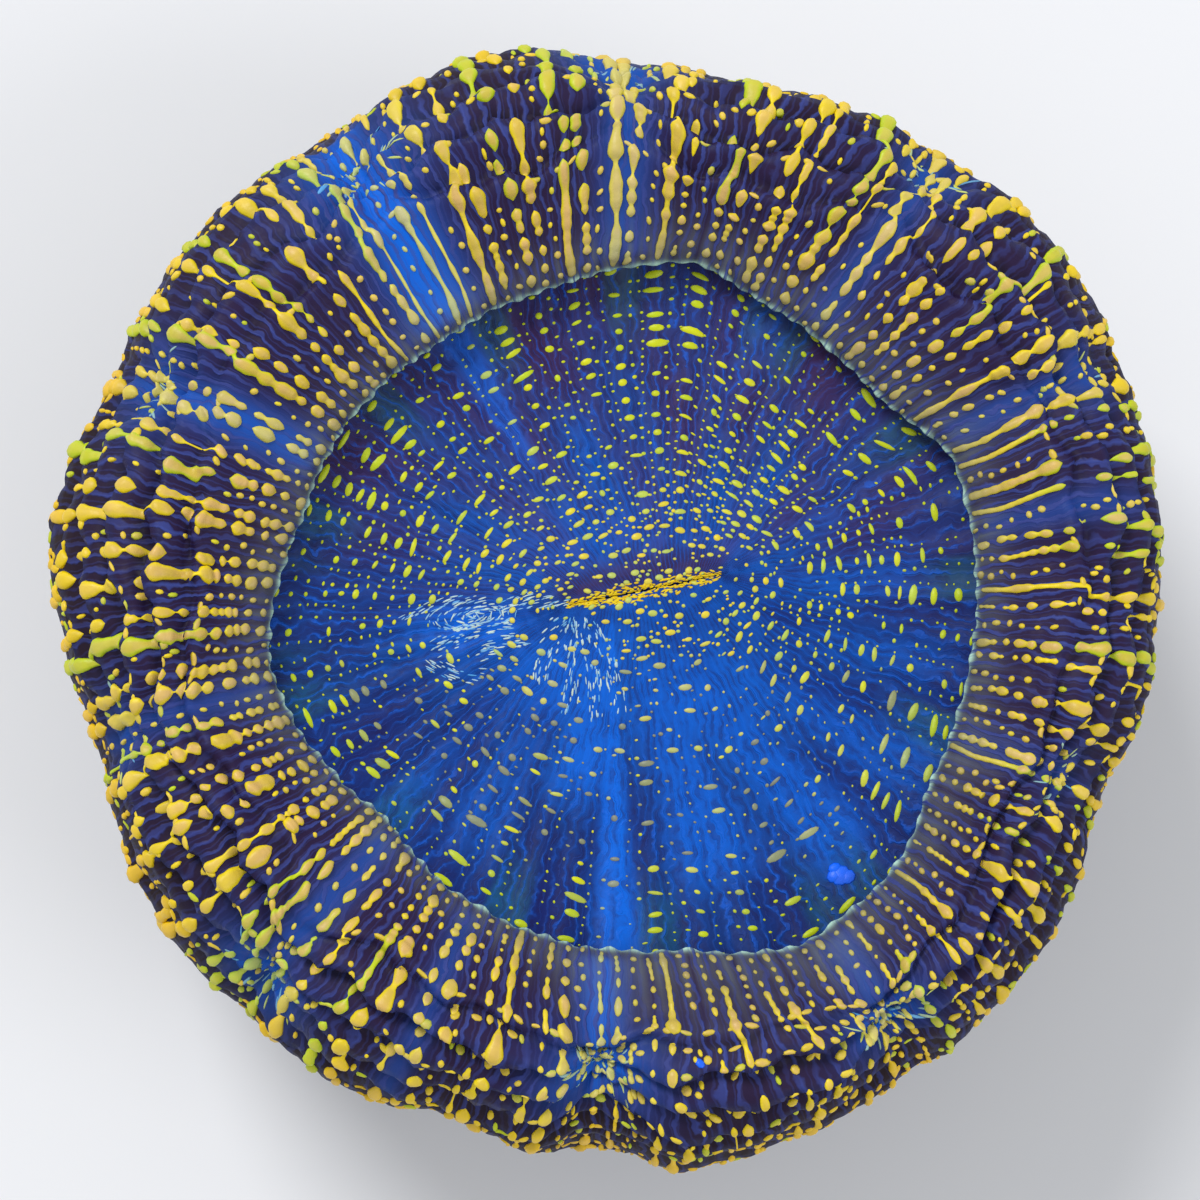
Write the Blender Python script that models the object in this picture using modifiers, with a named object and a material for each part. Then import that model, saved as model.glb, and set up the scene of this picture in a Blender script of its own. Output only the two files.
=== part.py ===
# Acanthophyllia coral: one large fleshy polyp, seated on the sawn-off stump of its stony skeleton.
# Every size is in millimetres until a vertex is placed. The saw cut lies on Z = 0, and +Z is up.
import math

import bmesh
import bpy
import numpy as np

MM = 0.001
ROUND_STEPS = 96  # mesh columns round the polyp
STRONG_ROWS = 48  # radial rows that carry the largest beads, one on every second column of faces
SEED = 7

# Inner edge of the mantle, round the oral disc: angle in degrees, radius.
LIP_OUTLINE = [
    (5, 23.0), (23, 23.2), (33, 21.2), (44, 20.7), (66, 20.8), (75, 21.7), (89, 20.5), (102, 19.5),
    (126, 19.0), (150, 19.7), (168, 19.9), (191, 21.9), (201, 21.7), (226, 20.1), (238, 21.1),
    (262, 22.2), (281, 22.8), (297, 25.0), (317, 24.6), (328, 23.2), (345, 22.9),
]
# Outer edge of the mantle at its widest, round the tips of its beads: a notch at each pinch.
RIM_OUTLINE = [
    (2, 36.2), (14, 36.8), (26, 37.4), (40, 37.9), (53, 37.5), (64, 36.5), (77, 35.3), (88, 35.9),
    (102, 36.6), (120, 35.6), (137, 35.6), (155, 34.8), (175, 35.6), (195, 33.5), (210, 34.3),
    (228, 34.9), (246, 34.6), (254, 33.8), (262, 35.4), (271, 34.5), (277, 36.4), (286, 36.0),
    (304, 36.0), (321, 35.5), (339, 34.4), (352, 35.6),
]
# Pinches, where the mantle is drawn in over a main septum: angle, distance of the dimple from the
# lip along the flesh, and strength from 0 to 1.
PINCHES = [
    (359, 10.2, 0.40), (25, 8.4, 0.60), (53, 13.3, 0.65), (89, 14.5, 0.70), (122, 12.6, 0.90),
    (157, 12.8, 0.75), (197, 15.6, 0.50), (228, 15.8, 0.85), (268, 10.3, 1.00), (302, 10.5, 0.95),
    (337, 9.8, 0.60),
]
# What a pinch of full strength does: its half width in degrees, the share by which rings crowd towards
# the dimple, how far rows turn into it, the depths of the groove and the dimple, and the dimple's reach.
PINCH = {"half_width": 5.0, "crowd": 0.35, "turn": 0.32, "groove": 0.4, "dimple": 1.5, "reach": 3.2}
FOLD_SPREAD = 2.2  # how many times wider than the groove the fold round it is
MOUTH = {"x": 2.0, "y": 0.2, "turn": 12.0, "half_length": 4.7}

# The polyp's meridian, from the bottom of the throat out over the disc and the mantle and back under.
# Each stop: share of the mouth slit, half width of the slit, share of the lip radius, share of the
# band from lip to rim, fixed radius, height.
MERIDIAN = [
    (0.00, 0.0, 0.00, 0.00, 0.0, 27.4),
    (0.88, 0.20, 0.00, 0.00, 0.0, 27.7),
    (0.96, 0.22, 0.003, 0.00, 0.0, 29.1),
    (1.00, 0.30, 0.015, 0.00, 0.0, 29.8),
    (0.90, 0.45, 0.12, 0.00, 0.0, 29.7),
    (0.55, 0.30, 0.42, 0.00, 0.0, 29.0),
    (0.22, 0.10, 0.76, 0.00, 0.0, 28.9),
    (0.04, 0.00, 0.96, 0.00, 0.0, 29.6),
    (0.00, 0.00, 1.04, 0.00, 0.0, 30.3),
    (0.00, 0.00, 1.02, 0.00, 0.0, 30.9),
    (0.00, 0.00, 0.985, 0.00, 0.0, 31.5),
    (0.00, 0.00, 1.00, 0.01, 0.0, 32.1),
    (0.00, 0.00, 1.00, 0.12, 0.0, 33.0),
    (0.00, 0.00, 1.00, 0.28, 0.0, 34.3),
    (0.00, 0.00, 1.00, 0.45, 0.0, 35.0),
    (0.00, 0.00, 1.00, 0.61, 0.0, 34.7),
    (0.00, 0.00, 1.00, 0.76, 0.0, 33.2),
    (0.00, 0.00, 1.00, 0.88, 0.0, 30.7),
    (0.00, 0.00, 1.00, 0.965, 0.0, 27.3),
    (0.00, 0.00, 1.00, 1.00, 0.0, 23.4),
    (0.00, 0.00, 1.00, 0.975, 0.0, 19.4),
    (0.00, 0.00, 1.00, 0.89, 0.0, 15.6),
    (0.00, 0.00, 1.00, 0.76, 0.0, 12.2),
    (0.00, 0.00, 1.00, 0.60, 0.0, 9.3),
    (0.00, 0.00, 1.00, 0.42, 0.0, 7.4),
    (0.00, 0.00, 0.70, 0.20, 6.8, 7.3),
    (0.00, 0.00, 0.15, 0.05, 18.2, 8.9),
    (0.00, 0.00, 0.00, 0.00, 19.2, 10.6),
    (0.00, 0.00, 0.00, 0.00, 0.0, 10.6),
]
LIP_STOP = 10  # the stop that is the free edge of the mantle's lip
HEM_LENGTH = 41.0  # flesh from the lip to the hem under the mantle

# The mantle's ledges: where the first and last edges lie, their spacing and height, and their lean.
LEDGES = {"first": 6.6, "pitch": 2.6, "height": 0.55, "lean": 0.40, "last": 39.1}
# Slow waves round the body: count, phase and size in millimetres of those in the ledges' lines, then
# count, twist for each millimetre down the mantle and share of the height of those in their height.
WANDER = [(3, 0.7, 0.55), (7, 2.1, 0.40), (13, 0.0, 0.25)]
UNEVEN = [(5, 0.6, 0.35), (11, -0.9, 0.25)]
DISC = {"ridge": 0.14, "fold": 0.25}  # relief of its fine radial ridges and of its folds at pinches
MANTLE_SWELL = 0.6  # how far the mantle swells between two pinches
HEM_DROOP = 1.6  # how much lower the hem hangs between two pinches
BEADS = {"first": 3.0, "last": 37.0, "large": 0.85, "small": 0.35}  # where they grow, and how high

# The stump of the skeleton: its ribs, with their relief, and how far it is from round, as shares of
# the radius. Each profile stop is a height and a radius.
STUMP = {"ribs": 26, "steps_per_rib": 3, "rib": 0.80, "oval": 0.05, "bulge": 0.03}
STUMP_PROFILE = [(0.0, 12.8), (2.4, 13.1), (4.6, 13.9), (6.4, 14.5), (8.6, 15.9), (10.3, 16.5)]


def smooth_ring(points, spread=4):
    """A radius for each whole degree, through the given points and softened over a few degrees."""
    angles, values = zip(*points)
    ring = np.interp(np.arange(360), angles, values, period=360)
    window = np.hanning(2 * spread + 3)[1:-1]
    window /= window.sum()
    padded = np.concatenate([ring[-spread:], ring, ring[:spread]])
    return np.convolve(padded, window, "valid")


def read_ring(ring, degrees):
    return np.interp(degrees % 360, np.arange(361), np.append(ring, ring[0]))


LIP_RING = smooth_ring(LIP_OUTLINE)
RIM_RING = smooth_ring(RIM_OUTLINE)


def mean_meridian():
    """Radius and height of each meridian stop on the mean outline, and its distance from the lip."""
    lip, rim = LIP_RING.mean(), RIM_RING.mean()
    stops = np.array(MERIDIAN)
    slit = stops[:, 0] * MOUTH["half_length"] * 0.6
    radius = slit + stops[:, 2] * lip + stops[:, 3] * (rim - lip) + stops[:, 4]
    height = stops[:, 5]
    steps = np.hypot(np.diff(radius), np.diff(height))
    along = np.concatenate([[0.0], np.cumsum(steps)])
    return radius, height, along - along[LIP_STOP]


STOP_RADIUS, STOP_HEIGHT, STOP_ALONG = mean_meridian()


def read_meridian(values, along):
    """A stop's value at any distance along the meridian, by cubic steps between the stops."""
    slopes = np.gradient(values, STOP_ALONG)
    index = np.clip(np.searchsorted(STOP_ALONG, along) - 1, 0, len(STOP_ALONG) - 2)
    span = STOP_ALONG[index + 1] - STOP_ALONG[index]
    t = np.clip((along - STOP_ALONG[index]) / span, 0, 1)
    t2, t3 = t * t, t * t * t
    return (
        (2 * t3 - 3 * t2 + 1) * values[index]
        + (t3 - 2 * t2 + t) * span * slopes[index]
        + (3 * t2 - 2 * t3) * values[index + 1]
        + (t3 - t2) * span * slopes[index + 1]
    )


def ramp(low, high, x):
    t = np.clip((x - low) / (high - low), 0, 1)
    return t * t * (3 - 2 * t)


def bell(away, half_width):
    return np.exp(-((away / half_width) ** 2))


def turn_from(degrees, centre):
    return (degrees - centre + 180) % 360 - 180


def flesh_distance(degrees, place):
    """Distance from the lip of a ring of the skin. Rings wander, and crowd together at each pinch."""
    radians = np.radians(degrees)
    wander = sum(size * np.sin(count * radians + phase) for count, phase, size in WANDER)
    on_mantle = ramp(2.0, 8.0, place) * (1 - ramp(LEDGES["last"] - 6, LEDGES["last"], place))
    along = place + wander * on_mantle
    for angle, at, strength in PINCHES:
        near = strength * bell(turn_from(degrees, angle), PINCH["half_width"])
        along -= (along - at) * PINCH["crowd"] * near * on_mantle
    return along


def polyp_point(degrees, place, lumps):
    """Points of the skin, in millimetres, at these angles and rings, raised by these lumps."""
    along = flesh_distance(degrees, place)
    lip = read_ring(LIP_RING, degrees)
    rim = read_ring(RIM_RING, degrees) - BEADS["large"]
    slit, slit_width, lip_share, band, fixed, height = (
        read_meridian(column, along) for column in np.array(MERIDIAN).T
    )
    slope_out = read_meridian(np.gradient(STOP_RADIUS, STOP_ALONG), along)
    slope_up = read_meridian(np.gradient(STOP_HEIGHT, STOP_ALONG), along)
    length = np.hypot(slope_out, slope_up) + 1e-9
    slope_out, slope_up = slope_out / length, slope_up / length

    # The pinches: a radial groove down the whole mantle, with a dimple that folds run into.
    groove = np.zeros_like(degrees)
    dimple = np.zeros_like(degrees)
    spread = np.zeros_like(degrees)
    turned = np.zeros_like(degrees)
    for angle, at, strength in PINCHES:
        away = turn_from(degrees, angle)
        near = strength * bell(away, PINCH["half_width"])
        wide = strength * bell(away, PINCH["half_width"] * FOLD_SPREAD)
        spot = bell(along - at, PINCH["reach"])
        groove = np.maximum(groove, near)
        dimple = np.maximum(dimple, near * spot)
        spread = np.maximum(spread, wide)
        turned -= away * PINCH["turn"] * wide * spot

    radians = np.radians(degrees)
    on_mantle = ramp(1.0, 6.0, along) * (1 - ramp(HEM_LENGTH - 4, HEM_LENGTH, along))
    on_disc = ramp(-22.0, -8.0, along) * (1 - ramp(-1.6, -0.6, along))
    ledge_zone = ramp(LEDGES["first"] - 3, LEDGES["first"] + 3, place)
    ledge_zone *= 1 - ramp(LEDGES["last"] - 4, LEDGES["last"], place)
    wave = np.cos(2 * math.pi * (place - LEDGES["first"]) / LEDGES["pitch"])
    uneven = 1 + sum(share * np.sin(count * radians + twist * place) for count, twist, share in UNEVEN)
    rise = LEDGES["height"] * ledge_zone * uneven * (1 - 0.5 * groove)
    out = rise * wave + lumps * on_mantle * (1 - 0.6 * groove)
    slide = LEDGES["lean"] * rise * wave
    on_top = on_mantle * (1 - 0.8 * ramp(12.0, 20.0, along))
    out += on_top * (MANTLE_SWELL * (0.4 - spread) - PINCH["groove"] * groove)
    out -= on_mantle * PINCH["dimple"] * dimple
    out += on_disc * (DISC["ridge"] * np.cos(radians * STRONG_ROWS) - DISC["fold"] * (groove - 0.25))

    flat = lip_share * lip + band * (rim - lip) + fixed
    flat = flat - out * slope_up + slide * slope_out
    droop = HEM_DROOP * (0.5 - spread) * ramp(20.0, 36.0, along) * (1 - ramp(44.0, 50.0, along))
    height = height + out * slope_out + slide * slope_up - droop
    angle = radians + np.radians(turned)
    mouth_turn = math.radians(MOUTH["turn"])
    slit_long = slit * MOUTH["half_length"] * np.cos(angle - mouth_turn)
    slit_wide = slit_width * np.sin(angle - mouth_turn)
    x = slit * MOUTH["x"] + slit_long * math.cos(mouth_turn) - slit_wide * math.sin(mouth_turn)
    y = slit * MOUTH["y"] + slit_long * math.sin(mouth_turn) + slit_wide * math.cos(mouth_turn)
    return np.stack([x + flat * np.cos(angle), y + flat * np.sin(angle), height], axis=-1)


def ring_places():
    """Where the polyp has rings of vertices: one on each ledge's edge and one in each step between."""
    half = LEDGES["pitch"] / 2
    count = int((LEDGES["last"] - LEDGES["first"]) / half)
    ledges = [LEDGES["first"] + half * k for k in range(count + 1)]
    inner = [LEDGES["first"] * share for share in (0.25, 0.5, 0.75)]
    before = [place for place in STOP_ALONG if place < inner[0] - 0.6]
    under = [place for place in STOP_ALONG if place > ledges[-1] + 1.0]
    return np.array(before + inner + ledges + under)


def bead_lumps(columns, places):
    """How far each vertex is raised: a large bead where a strong row crosses a ledge's edge."""
    draws = np.random.default_rng(SEED)
    size = np.clip(draws.uniform(-0.3, 1.2, (ROUND_STEPS, 200)), 0, 1)
    step = np.rint(places * 2 / LEDGES["pitch"]).astype(int)
    edge = np.cos(2 * math.pi * (places - LEDGES["first"]) / LEDGES["pitch"]) > 0.5
    strong = columns % 2 == 0
    high = np.where(edge & strong, BEADS["large"], np.where(edge | strong, 0, BEADS["small"]))
    grown = (places > BEADS["first"]) & (places < BEADS["last"])
    return high * size[columns % ROUND_STEPS, step % 200] * grown


def turned_mesh(name, radii, heights, steps, labels):
    """A profile turned into a closed mesh by a Screw modifier. Each vertex keeps its profile label."""
    mesh = bpy.data.meshes.new(name)
    corners = [(float(r) * MM, 0.0, float(z) * MM) for r, z in zip(radii, heights)]
    mesh.from_pydata(corners, [(i, i + 1) for i in range(len(corners) - 1)], [])
    label = mesh.attributes.new("label", "FLOAT", "POINT")
    label.data.foreach_set("value", np.array(labels, np.float32))
    obj = bpy.data.objects.new(name, mesh)
    PARTS.objects.link(obj)
    screw = obj.modifiers.new("Turn", "SCREW")
    screw.axis = "Z"
    screw.steps = screw.render_steps = steps
    screw.use_merge_vertices = True
    screw.merge_threshold = 0.00001
    graph = bpy.context.evaluated_depsgraph_get()
    turned = bpy.data.meshes.new_from_object(obj.evaluated_get(graph))
    obj.modifiers.clear()
    obj.data = turned
    bpy.data.meshes.remove(mesh)
    return obj


def vertex_table(mesh):
    places = np.empty(len(mesh.vertices) * 3, np.float64)
    mesh.vertices.foreach_get("co", places)
    labels = np.empty(len(mesh.vertices), np.float32)
    mesh.attributes["label"].data.foreach_get("value", labels)
    return places.reshape(-1, 3), labels.astype(np.float64)


def make_polyp():
    """All of the flesh, as one closed skin: throat, disc, mantle, hem and the flat seat beneath."""
    rings = ring_places()
    radii = read_meridian(STOP_RADIUS, rings)
    radii[0] = radii[-1] = 0
    radii[1:-1] = np.maximum(radii[1:-1], 0.5)
    heights = read_meridian(STOP_HEIGHT, rings)
    obj = turned_mesh("polyp", radii, heights, ROUND_STEPS, rings)
    corners, places = vertex_table(obj.data)
    degrees = np.degrees(np.arctan2(corners[:, 1], corners[:, 0])) % 360
    columns = np.rint(degrees * ROUND_STEPS / 360).astype(int) % ROUND_STEPS
    skin = polyp_point(degrees, places, bead_lumps(columns, places))
    pole = np.hypot(corners[:, 0], corners[:, 1]) < 1e-7
    skin[pole, :2] = 0
    skin[pole & (places < 0), :2] = (MOUTH["x"] * 0.85, MOUTH["y"] * 0.85)
    obj.data.vertices.foreach_set("co", (skin * MM).ravel())
    finish(obj, SKIN)
    return obj


def make_stump():
    """The cut skeleton: a ribbed cone with a flat saw cut below and a flat seat for the flesh above."""
    profile = [(0.0, 0.0)] + STUMP_PROFILE + [(STUMP_PROFILE[-1][0], 0.0)]
    heights, radii = zip(*profile)
    steps = STUMP["ribs"] * STUMP["steps_per_rib"]
    obj = turned_mesh("skeleton", radii, heights, steps, range(len(profile)))
    places, label = vertex_table(obj.data)
    angle = np.arctan2(places[:, 1], places[:, 0])
    radius = np.hypot(places[:, 0], places[:, 1])
    step = np.rint(angle / (2 * math.pi) * steps).astype(int) % steps
    crests = np.random.default_rng(SEED).uniform(0.5, 1.0, steps)
    rib = np.where(step % STUMP["steps_per_rib"] == 0, crests[step], 0) * STUMP["rib"] * MM
    oval = 1 + STUMP["oval"] * np.cos(2 * angle + 0.6) + STUMP["bulge"] * np.cos(3 * angle)
    pole = label % (len(profile) - 1) == 0
    radius = np.where(pole, 0, radius * oval + rib)
    places[:, 0] = radius * np.cos(angle)
    places[:, 1] = radius * np.sin(angle)
    obj.data.vertices.foreach_set("co", places.ravel())
    finish(obj, BONE)
    return obj


def finish(obj, material):
    """Faces out, smooth shading and the material."""
    bm = bmesh.new()
    bm.from_mesh(obj.data)
    bmesh.ops.recalc_face_normals(bm, faces=bm.faces)
    bm.to_mesh(obj.data)
    bm.free()
    obj.data.attributes.remove(obj.data.attributes["label"])
    obj.data.shade_smooth()
    obj.data.materials.append(material)


def make_material(name, colour, roughness):
    material = bpy.data.materials.new(name)
    material.use_nodes = True
    shader = material.node_tree.nodes["Principled BSDF"]
    shader.inputs["Base Color"].default_value = (*colour, 1)
    shader.inputs["Roughness"].default_value = roughness
    shader.inputs["Metallic"].default_value = 0
    return material


for old in list(bpy.data.objects):
    bpy.data.objects.remove(old)
PARTS = bpy.data.collections.new("acanthophyllia_coral")
bpy.context.scene.collection.children.link(PARTS)
SKIN = make_material("living_flesh", (0.045, 0.035, 0.09), 0.35)
BONE = make_material("stony_skeleton", (0.55, 0.50, 0.42), 0.85)
make_polyp()
make_stump()
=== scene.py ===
import math

import bmesh
import bpy
import numpy as np
from mathutils import Matrix, Vector


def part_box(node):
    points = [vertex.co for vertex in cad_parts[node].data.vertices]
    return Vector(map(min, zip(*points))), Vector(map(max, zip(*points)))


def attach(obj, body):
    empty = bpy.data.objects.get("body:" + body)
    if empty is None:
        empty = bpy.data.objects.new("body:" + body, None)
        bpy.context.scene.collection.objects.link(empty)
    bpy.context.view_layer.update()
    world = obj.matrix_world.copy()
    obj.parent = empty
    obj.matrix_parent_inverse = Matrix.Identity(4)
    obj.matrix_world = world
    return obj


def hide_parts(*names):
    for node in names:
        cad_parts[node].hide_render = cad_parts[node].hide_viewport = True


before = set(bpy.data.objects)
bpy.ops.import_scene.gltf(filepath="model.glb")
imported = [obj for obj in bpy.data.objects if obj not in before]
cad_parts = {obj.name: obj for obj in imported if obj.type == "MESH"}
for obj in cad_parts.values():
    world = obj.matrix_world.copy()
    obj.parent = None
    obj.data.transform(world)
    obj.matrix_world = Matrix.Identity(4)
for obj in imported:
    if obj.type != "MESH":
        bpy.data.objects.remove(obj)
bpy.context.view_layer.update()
mm = 0.001
weld = 1e-7  # points of a sheet that are nearer than this become one
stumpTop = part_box("skeleton")[1].z / mm

# the living flesh: angles in degrees from +X, everything else in millimetres
flesh = {
    "columns": 576,
    "rows": 144,  # radial rows of beads and spots, of which every third is a strong one
    "lip": [  # inner edge of the mantle round the disc: angle, radius
        (5, 23.0), (23, 23.2), (33, 21.2), (44, 20.7), (66, 20.8), (75, 21.7), (89, 20.5), (102, 19.5),
        (126, 19.0), (150, 19.7), (168, 19.9), (191, 21.9), (201, 21.7), (226, 20.1), (238, 21.1),
        (262, 22.2), (281, 22.8), (297, 25.0), (317, 24.6), (328, 23.2), (345, 22.9),
    ],
    "rim": [  # outer edge of the mantle at its widest, round the tips of its beads
        (2, 36.2), (14, 36.8), (26, 37.4), (40, 37.9), (53, 37.5), (64, 36.5), (77, 35.3), (88, 35.9),
        (102, 36.6), (120, 35.6), (137, 35.6), (155, 34.8), (175, 35.6), (195, 33.5), (210, 34.3),
        (228, 34.9), (246, 34.6), (254, 33.8), (262, 35.4), (271, 34.5), (277, 36.4), (286, 36.0),
        (304, 36.0), (321, 35.5), (339, 34.4), (352, 35.6),
    ],
    "beadReach": 0.85,  # how far the beads stand out of the skin at the rim
    "pinches": [  # angle, distance of the dimple from the lip, strength
        (359, 10.2, 0.40), (25, 8.4, 0.60), (53, 13.3, 0.65), (89, 14.5, 0.70), (122, 12.6, 0.90),
        (157, 12.8, 0.75), (197, 15.6, 0.50), (228, 15.8, 0.85), (268, 10.3, 1.00),
        (302, 10.5, 0.95), (337, 9.8, 0.60),
    ],
    "pinch": {
        "halfWidth": 5.0, "spread": 2.2, "crowd": 0.35, "turn": 0.32,
        "groove": 0.4, "dimple": 1.5, "reach": 3.2,
    },
    "star": {"folds": 9, "height": 0.22, "radius": 2.0, "width": 1.5},
    "ledges": {"first": 6.6, "pitch": 2.6, "height": 0.55, "lean": 0.40, "last": 39.1, "skew": 0.6},
    # waves in the ledges' lines: count, phase, twist for each millimetre of place, size
    "wander": [
        (3, 0.7, 0, 0.55), (7, 2.1, 0, 0.40), (13, 0.0, 0, 0.25), (19, 1.9, 0.9, 0.24), (31, 4.0, -1.4, 0.15),
    ],
    "uneven": [(5, 0.6, 0.35), (11, -0.9, 0.25)],  # waves in the ledges' height
    "scallop": (0.55, 0.18),  # how far a ledge bulges at strong rows and at every row, in radians of its wave
    "rib": 0.10,  # relief of the strong rows
    "flute": {"height": 0.22, "width": 1.0, "teeth": 96},  # relief of the lip's fluted edge
    # the thin fold behind the lip: start, width, and where it is wider: angle, spread, by how much
    "veil": {
        "start": 0.3, "width": 1.8,
        "sides": [(285, 24, 3.2), (330, 16, 1.6), (30, 20, 1.0), (190, 18, 1.4), (75, 14, 1.2)],
    },
    "discRidge": 0.10,  # relief of the rows on the disc
    "discZone": ((-22.0, -8.0), (-1.6, -0.6)),  # where the disc's relief rises and where it ends
    "discFold": 0.25,  # how far the disc sinks at a pinch
    "swell": 0.6,  # how far the mantle bulges between two pinches
    "swellEnd": (12.0, 20.0),
    "droop": 1.6,  # how far its lower half hangs down there
    "mouth": {"x": 2.0, "y": 0.2, "turn": 12.0, "halfLength": 4.7},
    # from the bottom of the throat out over disc and mantle and back under: share of the slit, its half
    # width, share of the lip's radius, share of the band from lip to rim, radius, height over the stump
    "meridian": [
        (0, 0, 0, 0, 0, 17.1), (0.88, 0.04, 0, 0, 0, 17.4), (0.96, 0.02, 0, 0, 0, 18.9),
        (1, 0.02, 0.0005, 0, 0, 19.5), (0.90, 0.45, 0.12, 0, 0, 19.4), (0.55, 0.30, 0.42, 0, 0, 18.7),
        (0.22, 0.10, 0.76, 0, 0, 18.6), (0.04, 0, 0.96, 0, 0, 19.3), (0, 0, 1.04, 0, 0, 20.0),
        (0, 0, 1.02, 0, 0, 20.6), (0, 0, 0.985, 0, 0, 21.2), (0, 0, 1, 0.01, 0, 21.8),
        (0, 0, 1, 0.12, 0, 22.7), (0, 0, 1, 0.28, 0, 24.0), (0, 0, 1, 0.45, 0, 24.7),
        (0, 0, 1, 0.61, 0, 24.4), (0, 0, 1, 0.76, 0, 22.9), (0, 0, 1, 0.88, 0, 20.4),
        (0, 0, 1, 0.965, 0, 17.0), (0, 0, 1, 1, 0, 13.1), (0, 0, 1, 0.975, 0, 9.1),
        (0, 0, 1, 0.89, 0, 5.3), (0, 0, 1, 0.76, 0, 1.9), (0, 0, 1, 0.60, 0, -1),
        (0, 0, 1, 0.42, 0, -2.9), (0, 0, 0.70, 0.20, 6.8, -3.0), (0, 0, 0.15, 0.05, 18.2, -1.4),
        (0, 0, 0, 0, 19.2, 0.3), (0, 0, 0, 0, 0, 0.3),
    ],
    "slitStop": 3,  # the stop where the throat opens on the disc
    "lipStop": 10,  # the stop that is the free edge of the lip
    "hemLength": 41.0,
}


def linear(red, green, blueShare):
    shares = np.array([red, green, blueShare]) / 255
    return np.where(shares <= 0.04045, shares / 12.92, ((shares + 0.055) / 1.055) ** 2.4)


def ramp(low, high, x):
    # rises from 0 at low to 1 at high; with low above high it falls
    t = np.clip((x - low) / (high - low), 0, 1)
    return t * t * (3 - 2 * t)


def plateau(x, rise, fall):
    # 1 from the end of the rise to the start of the fall, and 0 outside them
    return ramp(*rise, x) * (1 - ramp(*fall, x))


def bell(away, halfWidth):
    return np.exp(-((away / halfWidth) ** 2))


def ovalShare(x, y, centreX, centreY, reachX, reachY):
    # 0 at the oval's centre and 1 on its edge
    return np.hypot((x - centreX) / reachX, (y - centreY) / reachY)


def turnFrom(degrees, centre):
    return (degrees - centre + 180) % 360 - 180


def nearAngle(degrees, centre, spread):
    return bell(turnFrom(degrees, centre), spread)


def sideShare(sides, degrees, least):
    # more on some sides, each given by its angle, its spread and what it adds
    return least + sum(more * nearAngle(degrees, centre, spread) for centre, spread, more in sides)


def rowAt(degrees):
    return degrees * flesh["rows"] / 360


def angleOf(row):
    return row * 360 / flesh["rows"]


def ledgeEdges(last):
    return np.arange(flesh["ledges"]["first"], last, flesh["ledges"]["pitch"])


def smoothRing(points, spread=4):
    angles, values = zip(*points)
    ring = np.interp(np.arange(360), angles, values, period=360)
    window = np.hanning(2 * spread + 3)[1:-1]
    padded = np.concatenate([ring[-spread:], ring, ring[:spread]])
    return np.convolve(padded, window / window.sum(), "valid")


def readRing(ring, degrees):
    return np.interp(degrees % 360, np.arange(361), np.append(ring, ring[0]))


lipRing = smoothRing(flesh["lip"])
rimRing = smoothRing(flesh["rim"])
stops = np.array(flesh["meridian"])
stopRadius = (
    stops[:, 0] * flesh["mouth"]["halfLength"] * 0.6
    + stops[:, 2] * lipRing.mean()
    + stops[:, 3] * (rimRing.mean() - lipRing.mean())
    + stops[:, 4]
)
stopHeight = stops[:, 5] + stumpTop
stopAlong = np.concatenate([[0.0], np.cumsum(np.hypot(np.diff(stopRadius), np.diff(stopHeight)))])
stopAlong -= stopAlong[flesh["lipStop"]]
slitEdge = stopAlong[flesh["slitStop"]]


def readMeridian(values, along):
    # cubic steps between the stops
    slopes = np.gradient(values, stopAlong)
    index = np.clip(np.searchsorted(stopAlong, along) - 1, 0, len(stopAlong) - 2)
    span = stopAlong[index + 1] - stopAlong[index]
    t = np.clip((along - stopAlong[index]) / span, 0, 1)
    t2, t3 = t * t, t * t * t
    return (
        (2 * t3 - 3 * t2 + 1) * values[index]
        + (t3 - 2 * t2 + t) * span * slopes[index]
        + (3 * t2 - 2 * t3) * values[index + 1]
        + (t3 - t2) * span * slopes[index + 1]
    )


def fleshDistance(degrees, place):
    # rings of the skin wander, and crowd together at each pinch
    ledges, pinch = flesh["ledges"], flesh["pinch"]
    radians = np.radians(degrees)
    onMantle = plateau(place, (2.0, 8.0), (ledges["last"] - 6, ledges["last"]))
    waves = sum(
        size * np.sin(count * radians + phase + twist * place)
        for count, phase, twist, size in flesh["wander"]
    )
    along = place + waves * onMantle
    for angle, at, strength in flesh["pinches"]:
        near = strength * nearAngle(degrees, angle, pinch["halfWidth"])
        along = along - (along - at) * pinch["crowd"] * near * onMantle
    return along


def ledgeWave(degrees, place):
    # 1 on a ledge's edge, -1 in the step below it; the drop is steeper than the climb
    ledges = flesh["ledges"]
    row = rowAt(degrees)
    phase = 2 * math.pi * (place - ledges["first"]) / ledges["pitch"]
    broad, fine = flesh["scallop"]
    phase = phase - broad * np.cos(2 * math.pi * row / 3) - fine * np.cos(2 * math.pi * row)
    return np.cos(phase + ledges["skew"] * (1 - np.cos(phase)))


def pinchForms(degrees, along, radius):
    # each pinch draws a groove and a dimple, turns the rows towards it and folds like a star
    pinch, star = flesh["pinch"], flesh["star"]
    groove, dimple, spread, turned, folds = (np.zeros(np.shape(along)) for _ in range(5))
    for angle, at, strength in flesh["pinches"]:
        away = turnFrom(degrees, angle)
        near = strength * bell(away, pinch["halfWidth"])
        wide = strength * bell(away, pinch["halfWidth"] * pinch["spread"])
        spot = bell(along - at, pinch["reach"])
        groove = np.maximum(groove, near)
        dimple = np.maximum(dimple, near * spot)
        spread = np.maximum(spread, wide)
        turned = turned - away * pinch["turn"] * wide * spot
        across = np.radians(away) * radius
        far = np.hypot(across, along - at)
        ray = np.cos(star["folds"] * np.arctan2(along - at, across) + angle)
        folds = folds + strength * star["height"] * ray * bell(far - star["radius"], star["width"])
    return groove, dimple, spread, turned, folds


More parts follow.
